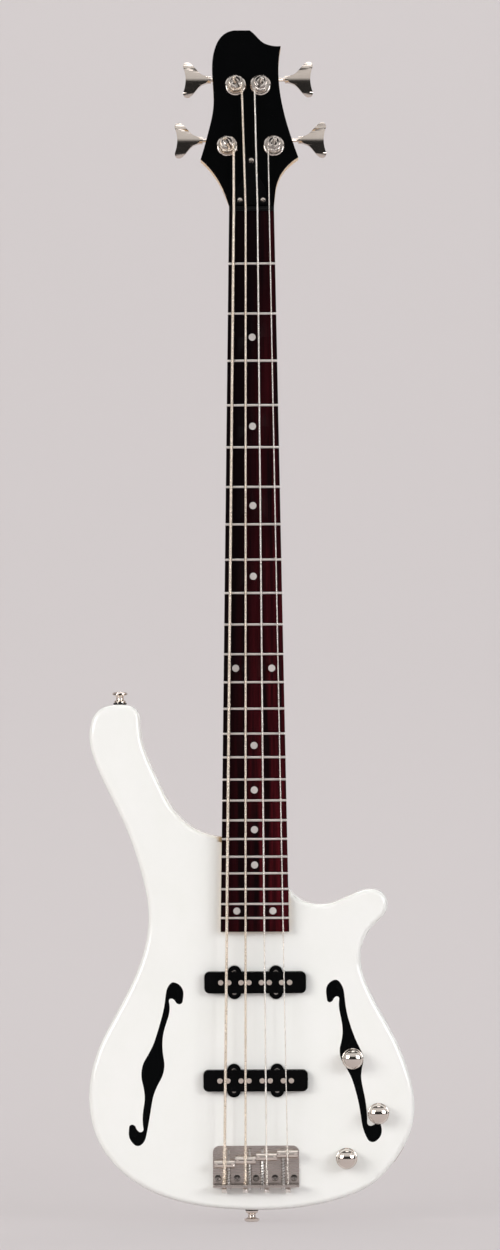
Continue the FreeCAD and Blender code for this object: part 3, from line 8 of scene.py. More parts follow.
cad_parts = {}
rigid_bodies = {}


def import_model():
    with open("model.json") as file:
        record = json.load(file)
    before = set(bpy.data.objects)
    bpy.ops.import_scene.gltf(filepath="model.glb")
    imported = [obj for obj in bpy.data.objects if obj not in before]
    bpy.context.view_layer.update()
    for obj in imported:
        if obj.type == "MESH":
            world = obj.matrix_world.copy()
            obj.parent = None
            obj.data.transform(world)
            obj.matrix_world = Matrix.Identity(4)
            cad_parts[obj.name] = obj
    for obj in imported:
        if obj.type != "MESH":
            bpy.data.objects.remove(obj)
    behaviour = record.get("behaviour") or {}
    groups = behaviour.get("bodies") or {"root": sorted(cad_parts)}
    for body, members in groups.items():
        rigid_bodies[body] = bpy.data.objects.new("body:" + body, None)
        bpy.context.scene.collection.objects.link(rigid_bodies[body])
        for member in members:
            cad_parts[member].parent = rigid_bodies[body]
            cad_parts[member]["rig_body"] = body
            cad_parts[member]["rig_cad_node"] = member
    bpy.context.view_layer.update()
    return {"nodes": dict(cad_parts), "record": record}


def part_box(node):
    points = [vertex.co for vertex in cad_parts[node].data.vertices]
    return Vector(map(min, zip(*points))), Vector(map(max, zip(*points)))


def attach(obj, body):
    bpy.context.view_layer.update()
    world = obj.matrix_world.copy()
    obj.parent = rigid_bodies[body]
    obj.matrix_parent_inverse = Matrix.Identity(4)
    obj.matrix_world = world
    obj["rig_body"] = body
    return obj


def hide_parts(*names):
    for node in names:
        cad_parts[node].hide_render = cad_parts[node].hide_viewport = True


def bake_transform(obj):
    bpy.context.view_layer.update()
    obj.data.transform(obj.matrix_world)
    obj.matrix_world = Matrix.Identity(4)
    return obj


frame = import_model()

cadNodes = frame["nodes"]
bodyMembers = frame["record"]["behaviour"]["bodies"]
bodyOfNode = {node: body for body, members in bodyMembers.items() for node in members}
mm = 0.001
print("frame loaded:", len(cadNodes), "nodes")


# handling of objects and edit mode

def clearSelection():
    if bpy.context.object and bpy.context.object.mode != "OBJECT":
        bpy.ops.object.mode_set(mode="OBJECT")
    bpy.ops.object.select_all(action="DESELECT")


def makeActive(piece):
    clearSelection()
    piece.select_set(True)
    bpy.context.view_layer.objects.active = piece


def runModifier(piece, kind, **settings):
    makeActive(piece)
    bpy.ops.object.modifier_add(type=kind)
    modifier = piece.modifiers[-1]
    for key, value in settings.items():
        setattr(modifier, key, value)
    bpy.ops.object.modifier_apply(modifier=modifier.name)


def shadeByAngle(piece, degrees):
    makeActive(piece)
    bpy.ops.object.shade_smooth_by_angle(angle=math.radians(degrees))


def smoothShade(piece, degrees):
    if degrees == 0:
        makeActive(piece)
        bpy.ops.object.shade_flat()
        return
    shadeByAngle(piece, degrees)
    runModifier(piece, "WEIGHTED_NORMAL", keep_sharp=True, weight=80)


def joinPieces(pieces, name):
    clearSelection()
    for piece in pieces:
        piece.select_set(True)
    bpy.context.view_layer.objects.active = pieces[0]
    bpy.ops.object.join()
    pieces[0].name = name
    return pieces[0]


def dropPieces(pieces):
    clearSelection()
    for piece in pieces:
        piece.select_set(True)
    bpy.ops.object.delete()


def cutAway(piece, cutter):
    runModifier(piece, "BOOLEAN", operation="DIFFERENCE", solver="EXACT", object=cutter)
    dropPieces([cutter])


def copyPiece(piece):
    makeActive(piece)
    bpy.ops.object.duplicate(linked=False)
    return bpy.context.object


copyPlan = {"merge": 0.000001, "flat": math.radians(0.3)}


def copyNode(nodeName):
    piece = copyPiece(cadNodes[nodeName])
    bpy.ops.object.parent_clear(type="CLEAR_KEEP_TRANSFORM")
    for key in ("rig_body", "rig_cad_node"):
        del piece[key]
    piece.name = nodeName + ".dressed"
    bpy.ops.object.mode_set(mode="EDIT")
    bpy.ops.mesh.select_all(action="SELECT")
    bpy.ops.mesh.remove_doubles(threshold=copyPlan["merge"])
    bpy.ops.mesh.dissolve_limited(angle_limit=copyPlan["flat"])
    bpy.ops.object.mode_set(mode="OBJECT")
    return piece


sharpEdge = 0.5  # radians between the faces of an edge that may be eased


def bevelWhere(piece, wanted, width, segments):
    makeActive(piece)
    bpy.ops.object.mode_set(mode="EDIT")
    bpy.ops.mesh.select_mode(type="EDGE")
    bpy.ops.mesh.select_all(action="DESELECT")
    mesh = bmesh.from_edit_mesh(piece.data)
    for edge in mesh.edges:
        if len(edge.link_faces) == 2 and edge.calc_face_angle(0) > sharpEdge and wanted(edge):
            edge.select_set(True)
    bmesh.update_edit_mesh(piece.data)
    bpy.ops.mesh.bevel(offset=width, segments=segments, affect="EDGES", clamp_overlap=True)
    bpy.ops.object.mode_set(mode="OBJECT")


def giveFinish(piece, finish):
    piece.data.materials.clear()
    piece.data.materials.append(finish)


def fitPiece(piece, nodeName):
    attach(piece, bodyOfNode[nodeName])
    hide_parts(nodeName)


def stretchPiece(piece, nodeName, first, second, start, end):
    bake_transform(piece)
    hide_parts(nodeName)


def placePiece(piece, base, outward, spin=0.0):
    stand = Vector(outward).to_track_quat("Z", "Y").to_matrix().to_4x4()
    piece.matrix_world = Matrix.Translation(base) @ stand @ Matrix.Rotation(spin, 4, "Z")
    makeActive(piece)
    bpy.ops.object.transform_apply(location=True, rotation=True, scale=True)


def inMetres(points):
    return [(radius * mm, height * mm) for radius, height in points]


lathePlan = {"point": 1e-7, "merge": 0.0000005}


def lathe(name, profile, sides):
    clearSelection()
    radius, height = profile[0]
    bpy.ops.mesh.primitive_circle_add(vertices=sides, radius=radius, location=(0, 0, 0), fill_type="NOTHING")
    piece = bpy.context.object
    piece.name = name
    bpy.ops.object.mode_set(mode="EDIT")
    bpy.ops.mesh.select_all(action="SELECT")
    bpy.ops.transform.translate(value=(0, 0, height))
    for nextRadius, nextHeight in profile[1:]:
        bpy.ops.mesh.extrude_region_move(TRANSFORM_OT_translate={"value": (0, 0, nextHeight - height)})
        if nextRadius < lathePlan["point"]:
            bpy.ops.mesh.merge(type="CENTER")
        else:
            share = nextRadius / radius
            bpy.ops.transform.resize(value=(share, share, 1), center_override=(0, 0, nextHeight))
        radius, height = nextRadius, nextHeight
    bpy.ops.mesh.select_all(action="SELECT")
    bpy.ops.mesh.remove_doubles(threshold=lathePlan["merge"])
    bpy.ops.mesh.normals_make_consistent(inside=False)
    bpy.ops.object.mode_set(mode="OBJECT")
    return piece


# finishes: shared effects are node groups, shaders stay in the materials

def startGroup(name, inputs, outputs):
    group = bpy.data.node_groups.new(name, "ShaderNodeTree")
    for label, kind, value in inputs:
        socket = group.interface.new_socket(label, in_out="INPUT", socket_type=kind)
        socket.default_value = value
    for label, kind in outputs:
        group.interface.new_socket(label, in_out="OUTPUT", socket_type=kind)
    return group, group.nodes.new("NodeGroupInput"), group.nodes.new("NodeGroupOutput")


def addNode(tree, kind, **settings):
    node = tree.nodes.new(kind)
    for key, value in settings.items():
        setattr(node, key, value)
    return node


def mixColours(tree, factor, first, second):
    mix = addNode(tree, "ShaderNodeMix", data_type="RGBA")
    tree.links.new(factor, mix.inputs[0])
    for place, value in ((6, first), (7, second)):  # the mix node's colour sockets
        if isinstance(value, tuple):
            mix.inputs[place].default_value = value
        else:
            tree.links.new(value, mix.inputs[place])
    return mix.outputs[2]


def stretchedNoise(tree, scale, detail, rough):
    where = addNode(tree, "ShaderNodeTexCoord")
    mapping = addNode(tree, "ShaderNodeMapping")
    mapping.inputs["Scale"].default_value = scale
    noise = addNode(tree, "ShaderNodeTexNoise")
    noise.inputs["Scale"].default_value = 1.0
    noise.inputs["Detail"].default_value = detail
    noise.inputs["Roughness"].default_value = rough
    tree.links.new(where.outputs["Object"], mapping.inputs["Vector"])
    tree.links.new(mapping.outputs["Vector"], noise.inputs["Vector"])
    return noise.outputs["Fac"]


def ranged(tree, value, low, high, fromLow=0.3, fromHigh=0.7):
    span = addNode(tree, "ShaderNodeMapRange")
    span.inputs["From Min"].default_value = fromLow
    span.inputs["From Max"].default_value = fromHigh
    for label, part in (("To Min", low), ("To Max", high)):
        if isinstance(part, float):
            span.inputs[label].default_value = part
        else:
            tree.links.new(part, span.inputs[label])
    tree.links.new(value, span.inputs["Value"])
    return span.outputs["Result"]


noisePlan = {  # scale, detail and roughness
    "smudge": ((38, 38, 26), 5.0, 0.6),
    "grit": ((900, 900, 900), 2.0, 0.5),
    "bands": ((150, 60, 5), 3.0, 0.5),
    "streaks": ((620, 300, 9), 3.0, 0.6),
    "pores": ((1900, 900, 45), 2.0, 0.5),
    "brush": ((30, 2600, 2600), 3.0, 0.6),
    "tarnish": ((70, 70, 70), 4.0, 0.6),
}
grainRange = {
    "bands": (0.0, 1.0, 0.38, 0.62),
    "streaks": (0.0, 0.55, 0.4, 0.7),
    "pores": (0.0, 1.0, 0.58, 0.7),
}


def buildHandledGroup():
    group, entry, leave = startGroup(
        "handledSurface",
        [("Smooth", "NodeSocketFloat", 0.1), ("Dull", "NodeSocketFloat", 0.3)],
        [("Roughness", "NodeSocketFloat"), ("Height", "NodeSocketFloat"), ("Patch", "NodeSocketFloat")],
    )
    smudge = stretchedNoise(group, *noisePlan["smudge"])
    grit = stretchedNoise(group, *noisePlan["grit"])
    rough = ranged(group, smudge, entry.outputs["Smooth"], entry.outputs["Dull"])
    group.links.new(rough, leave.inputs["Roughness"])
    group.links.new(grit, leave.inputs["Height"])
    group.links.new(smudge, leave.inputs["Patch"])
    return group


def buildWoodGroup():
    group, entry, leave = startGroup(
        "longGrain",
        [
            ("Early Wood", "NodeSocketColor", (0.7, 0.5, 0.3, 1)),
            ("Late Wood", "NodeSocketColor", (0.4, 0.25, 0.12, 1)),
            ("Pore", "NodeSocketColor", (0.1, 0.06, 0.03, 1)),
            ("Pore Share", "NodeSocketFloat", 0.4),
        ],
        [("Colour", "NodeSocketColor"), ("Height", "NodeSocketFloat")],
    )
    early, late = entry.outputs["Early Wood"], entry.outputs["Late Wood"]
    bands = stretchedNoise(group, *noisePlan["bands"])
    streaks = stretchedNoise(group, *noisePlan["streaks"])
    pores = stretchedNoise(group, *noisePlan["pores"])
    banded = mixColours(group, ranged(group, bands, *grainRange["bands"]), early, late)
    streaked = mixColours(group, ranged(group, streaks, *grainRange["streaks"]), banded, late)
    poreMask = addNode(group, "ShaderNodeMath", operation="MULTIPLY")
    group.links.new(ranged(group, pores, *grainRange["pores"]), poreMask.inputs[0])
    group.links.new(entry.outputs["Pore Share"], poreMask.inputs[1])
    colour = mixColours(group, poreMask.outputs[0], streaked, entry.outputs["Pore"])
    group.links.new(colour, leave.inputs["Colour"])
    group.links.new(pores, leave.inputs["Height"])
    return group


def buildBrushedGroup():
    group, entry, leave = startGroup(
        "brushedMetal",
        [("Smooth", "NodeSocketFloat", 0.15), ("Dull", "NodeSocketFloat", 0.35)],
        [("Roughness", "NodeSocketFloat"), ("Height", "NodeSocketFloat"), ("Tarnish", "NodeSocketFloat")],
    )
    brush = stretchedNoise(group, *noisePlan["brush"])
    tarnish = stretchedNoise(group, *noisePlan["tarnish"])
    rough = ranged(group, brush, entry.outputs["Smooth"], entry.outputs["Dull"])
    group.links.new(rough, leave.inputs["Roughness"])
    group.links.new(brush, leave.inputs["Height"])
    group.links.new(tarnish, leave.inputs["Tarnish"])
    return group


handledGroup = buildHandledGroup()
woodGroup = buildWoodGroup()
brushedGroup = buildBrushedGroup()


def startFinish(name, group, values):
    finish = bpy.data.materials.new(name)
    finish.use_nodes = True
    tree = finish.node_tree
    shader = tree.nodes["Principled BSDF"]
    effect = addNode(tree, "ShaderNodeGroup", node_tree=group)
    for label, value in values.items():
        effect.inputs[label].default_value = value
    return finish, tree, shader, effect


def addBump(tree, shader, height, depth, strength):
    bump = addNode(tree, "ShaderNodeBump")
    bump.inputs["Strength"].default_value = strength
    bump.inputs["Distance"].default_value = depth
    tree.links.new(height, bump.inputs["Height"])
    tree.links.new(bump.outputs["Normal"], shader.inputs["Normal"])


finishPlan = {
    "coatRoughness": 0.06,
    "poreDull": 0.15,
    "bump": {"coated": 0.25, "metal": 0.15, "wood": 0.3, "wound": 0.7},
    "wrap": {"smooth": 0.2, "dull": 0.34, "depth": 0.35, "wave": 0.314},
}


def coatedFinish(name, colour, tint, smooth, dull, coat=0.0, depth=0.00002, specular=0.5):
    finish, tree, shader, effect = startFinish(name, handledGroup, {"Smooth": smooth, "Dull": dull})
    patch = ranged(tree, effect.outputs["Patch"], 0.0, 1.0)
    tree.links.new(mixColours(tree, patch, colour, tint), shader.inputs["Base Color"])
    tree.links.new(effect.outputs["Roughness"], shader.inputs["Roughness"])
    shader.inputs["Coat Weight"].default_value = coat
    shader.inputs["Coat Roughness"].default_value = finishPlan["coatRoughness"]
    shader.inputs["Specular IOR Level"].default_value = specular
    addBump(tree, shader, effect.outputs["Height"], depth, finishPlan["bump"]["coated"])
    return finish


def startMetal(name, colour, tint, smooth, dull):
    finish, tree, shader, effect = startFinish(name, brushedGroup, {"Smooth": smooth, "Dull": dull})
    tarnish = ranged(tree, effect.outputs["Tarnish"], 0.0, 1.0)
    tree.links.new(mixColours(tree, tarnish, colour, tint), shader.inputs["Base Color"])
    tree.links.new(effect.outputs["Roughness"], shader.inputs["Roughness"])
    shader.inputs["Metallic"].default_value = 1.0
    return finish, tree, shader, effect


def metalFinish(name, colour, tint, smooth, dull, depth=0.00001):
    finish, tree, shader, effect = startMetal(name, colour, tint, smooth, dull)
    addBump(tree, shader, effect.outputs["Height"], depth, finishPlan["bump"]["metal"])
    return finish


def woundFinish(name, colour, tint, lay):
    plan = finishPlan["wrap"]
    finish, tree, shader, _ = startMetal(name, colour, tint, plan["smooth"], plan["dull"])
    where = addNode(tree, "ShaderNodeTexCoord")
    wrap = addNode(tree, "ShaderNodeTexWave", wave_type="BANDS", bands_direction="Z")
    wrap.inputs["Scale"].default_value = plan["wave"] / lay  # one band for each turn of the wrap wire
    tree.links.new(where.outputs["Object"], wrap.inputs["Vector"])
    addBump(tree, shader, wrap.outputs["Fac"], lay * plan["depth"], finishPlan["bump"]["wound"])
    return finish


def heartShade(tree, colour, heart):
    where = addNode(tree, "ShaderNodeTexCoord")
    across = addNode(tree, "ShaderNodeVectorMath", operation="DOT_PRODUCT")
    across.inputs[1].default_value = heart["direction"]
    tree.links.new(where.outputs["Object"], across.inputs[0])
    share = ranged(tree, across.outputs["Value"], 0.0, 1.0, heart["start"], heart["full"])
    return mixColours(tree, share, heart["colour"], colour)


def woodFinish(name, early, late, pore, poreShare, rough, coat, depth, specular=0.5, heart=None):
    values = {"Early Wood": early, "Late Wood": late, "Pore": pore, "Pore Share": poreShare}
    finish, tree, shader, effect = startFinish(name, woodGroup, values)
    colour = heartShade(tree, effect.outputs["Colour"], heart) if heart else effect.outputs["Colour"]
    tree.links.new(colour, shader.inputs["Base Color"])
    rough = ranged(tree, effect.outputs["Height"], rough, rough + finishPlan["poreDull"])
    tree.links.new(rough, shader.inputs["Roughness"])
    shader.inputs["Coat Weight"].default_value = coat
    shader.inputs["Specular IOR Level"].default_value = specular
    addBump(tree, shader, effect.outputs["Height"], depth, finishPlan["bump"]["wood"])
    return finish


whiteLacquer = coatedFinish(
    "whiteLacquer", (0.865, 0.87, 0.84, 1), (0.885, 0.885, 0.865, 1), 0.16, 0.26, coat=0.4, depth=0.000004)
blackGloss = coatedFinish(
    "blackGloss", (0.0008, 0.0010, 0.0012, 1), (0.0014, 0.0015, 0.0017, 1), 0.10, 0.18,
    depth=0.000004, specular=0.04)
inlayBlack = coatedFinish(
    "inlayBlack", (0.0010, 0.0014, 0.0016, 1), (0.0018, 0.0021, 0.0023, 1), 0.2, 0.32,
    depth=0.00001, specular=0.05)
coverBlack = coatedFinish(
    "coverBlack", (0.0010, 0.0011, 0.0014, 1), (0.0018, 0.0018, 0.0021, 1), 0.14, 0.26,
    depth=0.00001, specular=0.08)
nutBlack = coatedFinish(
    "nutBlack", (0.0015, 0.0015, 0.0016, 1), (0.003, 0.003, 0.003, 1), 0.3, 0.5, specular=0.08)
mapleSatin = woodFinish(
    "mapleSatin", (0.80, 0.56, 0.29, 1), (0.70, 0.45, 0.20, 1), (0.46, 0.26, 0.11, 1),
    poreShare=0.25, rough=0.28, coat=0.25, depth=0.00001)
boardHeart = {  # dark bass side
    "direction": (1.0, 0.0, -0.06),
    "start": -0.051,
    "full": 0.002,
    "colour": (0.0030, 0.0008, 0.0014, 1),
}
rosewoodOiled = woodFinish(
    "rosewoodOiled", (0.080, 0.0050, 0.0088, 1), (0.0050, 0.0009, 0.0016, 1), (0.0012, 0.0004, 0.0005, 1),
    poreShare=0.7, rough=0.42, coat=0.0, depth=0.00004, specular=0.03, heart=boardHeart)
warmChrome = metalFinish("warmChrome", (0.80, 0.725, 0.665, 1), (0.74, 0.665, 0.605, 1), 0.06, 0.14, 0.000003)
keyChrome = metalFinish("keyChrome", (0.75, 0.67, 0.605, 1), (0.69, 0.61, 0.545, 1), 0.07, 0.14, 0.000003)
postChrome = metalFinish("postChrome", (0.80, 0.725, 0.67, 1), (0.70, 0.63, 0.58, 1), 0.08, 0.18, 0.000003)
plateNickel = metalFinish("plateNickel", (0.64, 0.575, 0.54, 1), (0.55, 0.49, 0.455, 1), 0.2, 0.34)
fretNickel = metalFinish("fretNickel", (0.88, 0.83, 0.79, 1), (0.82, 0.77, 0.72, 1), 0.26, 0.4)
steelBright = metalFinish("steelBright", (0.62, 0.60, 0.58, 1), (0.52, 0.50, 0.48, 1), 0.18, 0.34)
springSteel = metalFinish("springSteel", (0.30, 0.275, 0.26, 1), (0.20, 0.185, 0.175, 1), 0.2, 0.35)
brassSatin = metalFinish("brassSatin", (0.72, 0.50, 0.24, 1), (0.58, 0.38, 0.17, 1), 0.2, 0.4)
copperCoil = metalFinish("copperCoil", (0.55, 0.22, 0.10, 1), (0.42, 0.15, 0.07, 1), 0.3, 0.5)
feltBlack = coatedFinish(
    "feltBlack", (0.012, 0.012, 0.013, 1), (0.03, 0.029, 0.028, 1), 0.85, 1.0, depth=0.0002, specular=0.2)
foamGrey = coatedFinish("foamGrey", (0.06, 0.06, 0.06, 1), (0.10, 0.10, 0.10, 1), 0.8, 0.95, depth=0.0003)
leadSleeve = coatedFinish("leadSleeve", (0.015, 0.015, 0.016, 1), (0.03, 0.03, 0.03, 1), 0.45, 0.6)
pearlDot = coatedFinish("pearlDot", (0.46, 0.42, 0.40, 1), (0.66, 0.63, 0.61, 1), 0.15, 0.3, coat=0.3)
poleSteel = metalFinish("poleSteel", (0.86, 0.76, 0.69, 1), (0.76, 0.67, 0.60, 1), 0.3, 0.45)
darkSteel = metalFinish("darkSteel", (0.40, 0.37, 0.35, 1), (0.28, 0.26, 0.245, 1), 0.12, 0.25)
bronzeWound = woundFinish("bronzeWound", (0.91, 0.81, 0.70, 1), (0.80, 0.69, 0.57, 1), 0.0006)
steelWound = woundFinish("steelWound", (0.95, 0.91, 0.86, 1), (0.88, 0.83, 0.77, 1), 0.00042)
print("finishes built")


# pieces whose solid already has the real shape: merged copy, eased edges, smooth shading

def dressNode(nodeName, finish, degrees, bevels):
    piece = copyNode(nodeName)
    for wanted, width, segments in bevels:
        bevelWhere(piece, wanted, width, segments)
    smoothShade(piece, degrees)
    giveFinish(piece, finish)
    fitPiece(piece, nodeName)


def edgeMiddle(edge):
    return (edge.verts[0].co + edge.verts[1].co) / 2


headPlan = {
    "tilt": math.radians(8),
    "glueFace": -23.0 * mm,
    "nutThickness": 4.0 * mm,
    "nutHeight": 916.0 * mm,
}
headTilt = headPlan["tilt"]
headFace = headPlan["glueFace"] - headPlan["nutThickness"] * math.tan(headTilt)
headOrigin = Vector((0, headFace, headPlan["nutHeight"]))
headOut = Vector((0, -math.cos(headTilt), math.sin(headTilt)))
headUp = Vector((0, math.sin(headTilt), math.cos(headTilt)))


def onHead(x, height, along):
    return headOrigin + Vector((x, 0, 0)) + headOut * height + headUp * along


def aboveHead(level):
    return lambda edge: all((corner.co - headOrigin).dot(headOut) > level for corner in edge.verts)


def frontOf(level):
    return lambda edge: all(corner.co.y < level for corner in edge.verts)


easePlan = {  # which edges, width and segments
    "rodCover": (aboveHead(2.9 * mm), 0.35 * mm, 3),
    "bridgeLip": (frontOf(-34.9 * mm), 0.45 * mm, 3),
    "pickupTop": (frontOf(-26.9 * mm), 0.9 * mm, 4),
    "poleTop": (frontOf(-27.55 * mm), 0.25 * mm, 2),
}
dressPlan = {  # finish, smoothing angle and eased edges
    "body": (whiteLacquer, 40, ()),
    "f_hole_inlays": (inlayBlack, 40, ()),
    "neck": (mapleSatin, 40, ()),
    "fingerboard": (rosewoodOiled, 0, ()),
    "frets": (fretNickel, 60, ()),
    "position_markers": (pearlDot, 30, ()),
    "nut": (nutBlack, 40, ()),
    "headstock_veneer": (blackGloss, 40, ()),
    "truss_rod_cover": (coverBlack, 40, (easePlan["rodCover"],)),
    "neck_plate": (plateNickel, 40, ()),
    "tuner_plates": (warmChrome, 40, ()),
    "tuner_bushings": (warmChrome, 40, ()),
    "bridge_plate": (plateNickel, 40, (easePlan["bridgeLip"],)),
    "neck_pickup_cover": (coverBlack, 40, (easePlan["pickupTop"],)),
    "bridge_pickup_cover": (coverBlack, 40, (easePlan["pickupTop"],)),
    "pole_pieces": (poleSteel, 40, (easePlan["poleTop"],)),
    "pot_nuts": (steelBright, 40, ()),
    "control_cover": (coverBlack, 40, ()),
    "jack_flange": (warmChrome, 40, ()),
    "output_jack": (brassSatin, 40, ()),
    "strap_buttons": (warmChrome, 40, ()),
}
for letter in "eadg":
    dressPlan["tuner_gear_" + letter] = (brassSatin, 30, ())
    dressPlan["tuner_key_" + letter] = (keyChrome, 40, ())
    dressPlan["saddle_" + letter] = (warmChrome, 40, ())
    dressPlan["intonation_screw_" + letter] = (steelBright, 40, ())
for nodeName, (finish, degrees, bevels) in dressPlan.items():
    dressNode(nodeName, finish, degrees, bevels)
print("dressed nodes:", len(dressPlan))


# string posts with turned grooves in their caps

postPlan = {
    "places": {"e": (-22.1, 60.5), "a": (-14.2, 117.2), "d": (8.7, 117.2), "g": (20.7, 60.5)},
    "top": 18.5,
    "grooves": ((1.05, 0.85, 0.75), (3.45, 1.05, 0.9)),
    "over": 0.1,
    "sides": 40,
    "smooth": 40,
}


def grooveCutter(plan):
    rings = []
    over = plan["top"] + plan["over"]
    for radius, halfWidth, depth in plan["grooves"]:
        inner, outer = radius - halfWidth, radius + halfWidth
        profile = [(inner, over), (radius, plan["top"] - depth), (outer, over), (inner, over)]
        rings.append(lathe("grooveRing", inMetres(profile), plan["sides"]))
    return joinPieces(rings, "grooveCutter")


for letter, (x, along) in postPlan["places"].items():
    nodeName = "tuner_post_" + letter
    piece = copyNode(nodeName)
    cutter = grooveCutter(postPlan)
    placePiece(cutter, onHead(x * mm, 0, along * mm), headOut)
    cutAway(piece, cutter)
    smoothShade(piece, postPlan["smooth"])
    giveFinish(piece, postChrome)
    fitPiece(piece, nodeName)
print("string posts grooved")


# inner nodes that keep their solid's mesh

hiddenPlan = {
    "truss_rod": steelBright,
    "pickup_bobbins": coverBlack,
    "pickup_coils": copperCoil,
    "pickup_foam_pads": foamGrey,
    "pots": steelBright,
    "wiring_leads": leadSleeve,
}
for nodeName, finish in hiddenPlan.items():
    giveFinish(cadNodes[nodeName], finish)
print("inner nodes finished:", len(hiddenPlan))


# cross-head screws: one of each size is modelled, then copied to every place

screwPlan = {
    "bridgeScrew": {"radius": 3.3, "shank": 1.6, "depth": 1.6, "rise": 0.45, "cut": 0.9},
    "strapScrew": {"radius": 3.6, "shank": 1.7, "depth": 2.2, "rise": 0.0, "cut": 1.2},
    "coverScrew": {"radius": 2.4, "shank": 1.1, "depth": 1.2, "rise": 0.4, "cut": 0.7},
    "pickupScrew": {"radius": 2.3, "shank": 1.1, "depth": 1.3, "rise": 0.45, "cut": 0.7},
    "neckScrew": {"radius": 4.4, "shank": 2.3, "depth": 2.6, "rise": 0.7, "cut": 1.2},
}
screwShape = {
    "tip": (0.8, 5.0),
    "tipStart": 4.6,
    "rimShare": 0.97,
    "rimFoot": 0.25,
    "rimTop": 0.1,
    "seam": 0.01,
    "dome": (0.45, 0.8, 1.15),
    "slot": {"length": 1.15, "width": 0.3, "below": 0.4, "above": 0.3, "taper": 0.55},
    "sides": 32,
    "smooth": 30,
    "topBand": 0.1,
    "spin": (0.3, 0.7),
    "square": 0.9,
}


def addCutter(size, top, quarter):
    length, width, depth = size
    spread = (width, length, depth) if quarter else size
    taper = screwShape["slot"]["taper"]
    clearSelection()
    bpy.ops.mesh.primitive_cube_add(size=1, location=(0, 0, top - depth / 2))
    cutter = bpy.context.object
    bpy.ops.object.mode_set(mode="EDIT")
    bpy.ops.mesh.select_all(action="SELECT")
    bpy.ops.transform.resize(value=spread, center_override=(0, 0, top - depth / 2))
    mesh = bmesh.from_edit_mesh(cutter.data)
    for corner in mesh.verts:
        corner.select_set(corner.co.z < 0)
    mesh.select_flush_mode()
    bpy.ops.transform.resize(value=(taper, taper, 1), center_override=(0, 0, top - depth))
    bpy.ops.object.mode_set(mode="OBJECT")
    return cutter


def modelScrew(name, plan, shape):
    radius, rise, depth = plan["radius"] * mm, plan["rise"] * mm, plan["depth"] * mm
    shank, cut, seam = plan["shank"] * mm, plan["cut"] * mm, shape["seam"] * mm
    tipShare, tipLength = shape["tip"]
    rim, slot = radius * shape["rimShare"], shape["slot"]
    profile = [(shank * tipShare, -depth - tipLength * mm), (shank, -depth - shape["tipStart"] * mm)]
    profile += [(shank, -depth), (rim, -shape["rimFoot"] * mm), (radius, -shape["rimTop"] * mm), (rim, 0)]
    profile += [(radius * math.cos(turn), rise * math.sin(turn) + seam) for turn in shape["dome"]]
    profile += [(0, rise + seam)]
    head = lathe(name, profile, shape["sides"])
    size = (radius * slot["length"], radius * slot["width"], cut + rise + slot["below"] * mm)
    for quarter in (False, True):
        cutAway(head, addCutter(size, rise + slot["above"] * mm, quarter))
    smoothShade(head, shape["smooth"])
    return head


def screwSpots(nodeName, outwards):
    copyNode(nodeName)
    bpy.ops.mesh.separate(type="LOOSE")
    spots = []
    for island in list(bpy.context.selected_objects):
        corners = [corner.co.copy() for corner in island.data.vertices]
        middle = sum(corners, Vector()) / len(corners)
        outward = outwards(middle)
        top = max(corner.dot(outward) for corner in corners)
        rim = [corner for corner in corners if corner.dot(outward) > top - screwShape["topBand"] * mm]
        spots.append((sum(rim, Vector()) / len(rim), outward))
    bpy.ops.object.delete()
    return sorted(spots, key=lambda spot: (round(spot[0].z, 5), spot[0].x))


def setScrews(nodeName, chosen, outwards, finish):
    models = {}
    pieces = []
    firstSpin, nextSpin = screwShape["spin"]
    for number, (spot, outward) in enumerate(screwSpots(nodeName, outwards)):
        kind = chosen(spot)
        if kind not in models:
            models[kind] = modelScrew(kind, screwPlan[kind], screwShape)
        piece = copyPiece(models[kind])
        flush = outward.y > screwShape["square"] or abs(outward.z) > screwShape["square"]
        sunk = screwPlan[kind]["rise"] + screwShape["seam"] if flush else 0.0
        placePiece(piece, spot - outward * sunk * mm, outward, nextSpin * number + firstSpin)
        pieces.append(piece)
    dropPieces(models.values())
    piece = joinPieces(pieces, nodeName + ".modelled")
    giveFinish(piece, finish)
    fitPiece(piece, nodeName)


front, back = Vector((0, -1, 0)), Vector((0, 1, 0))
up, down = Vector((0, 0, 1)), Vector((0, 0, -1))
screwZones = {
    "headFrom": 500 * mm,
    "headFront": -6 * mm,
    "hornFrom": 300 * mm,
    "tailHalf": 2 * mm,
    "bridgeTop": -15 * mm,
}


def coverScrewOut(middle):
    if middle.z < screwZones["headFrom"]:
        return back
    return headOut if (middle - headOrigin).dot(headOut) > screwZones["headFront"] else -headOut


def mountScrewOut(middle):
    if middle.z > screwZones["hornFrom"]:
        return up
    return down if abs(middle.y) < screwZones["tailHalf"] else front


def mountScrewKind(spot):
    return "bridgeScrew" if spot.y < screwZones["bridgeTop"] else "strapScrew"


setScrews("mounting_screws", mountScrewKind, mountScrewOut, darkSteel)
setScrews("pickup_screws", lambda spot: "pickupScrew", lambda middle: front, darkSteel)
setScrews("neck_screws", lambda spot: "neckScrew", lambda middle: back, warmChrome)
setScrews("cover_screws", lambda spot: "coverScrew", coverScrewOut, warmChrome)
print("screws set")


# domed knobs, turned from a ring

knobPlan = {
    "face": -20.0,
    "radius": 9.8,
    "neck": 8.5,
    "start": 0.6,
    "band": 2.1,
    "shoulder": 13.2,
    "top": 17.6,
    "rim": 0.5,
    "bore": 7.4,
    "boreDepth": 5.6,
    "boreEase": 0.2,
    "bandEase": ((0.0, 0.0), (0.25, 0.35), (0.6, 0.5)),
    "flare": (0.4, 4.0),
    "dome": (0.18, 0.4, 0.65, 0.9, 1.12, 1.3, 1.45),
    "sides": 64,
    "smooth": 50,
}


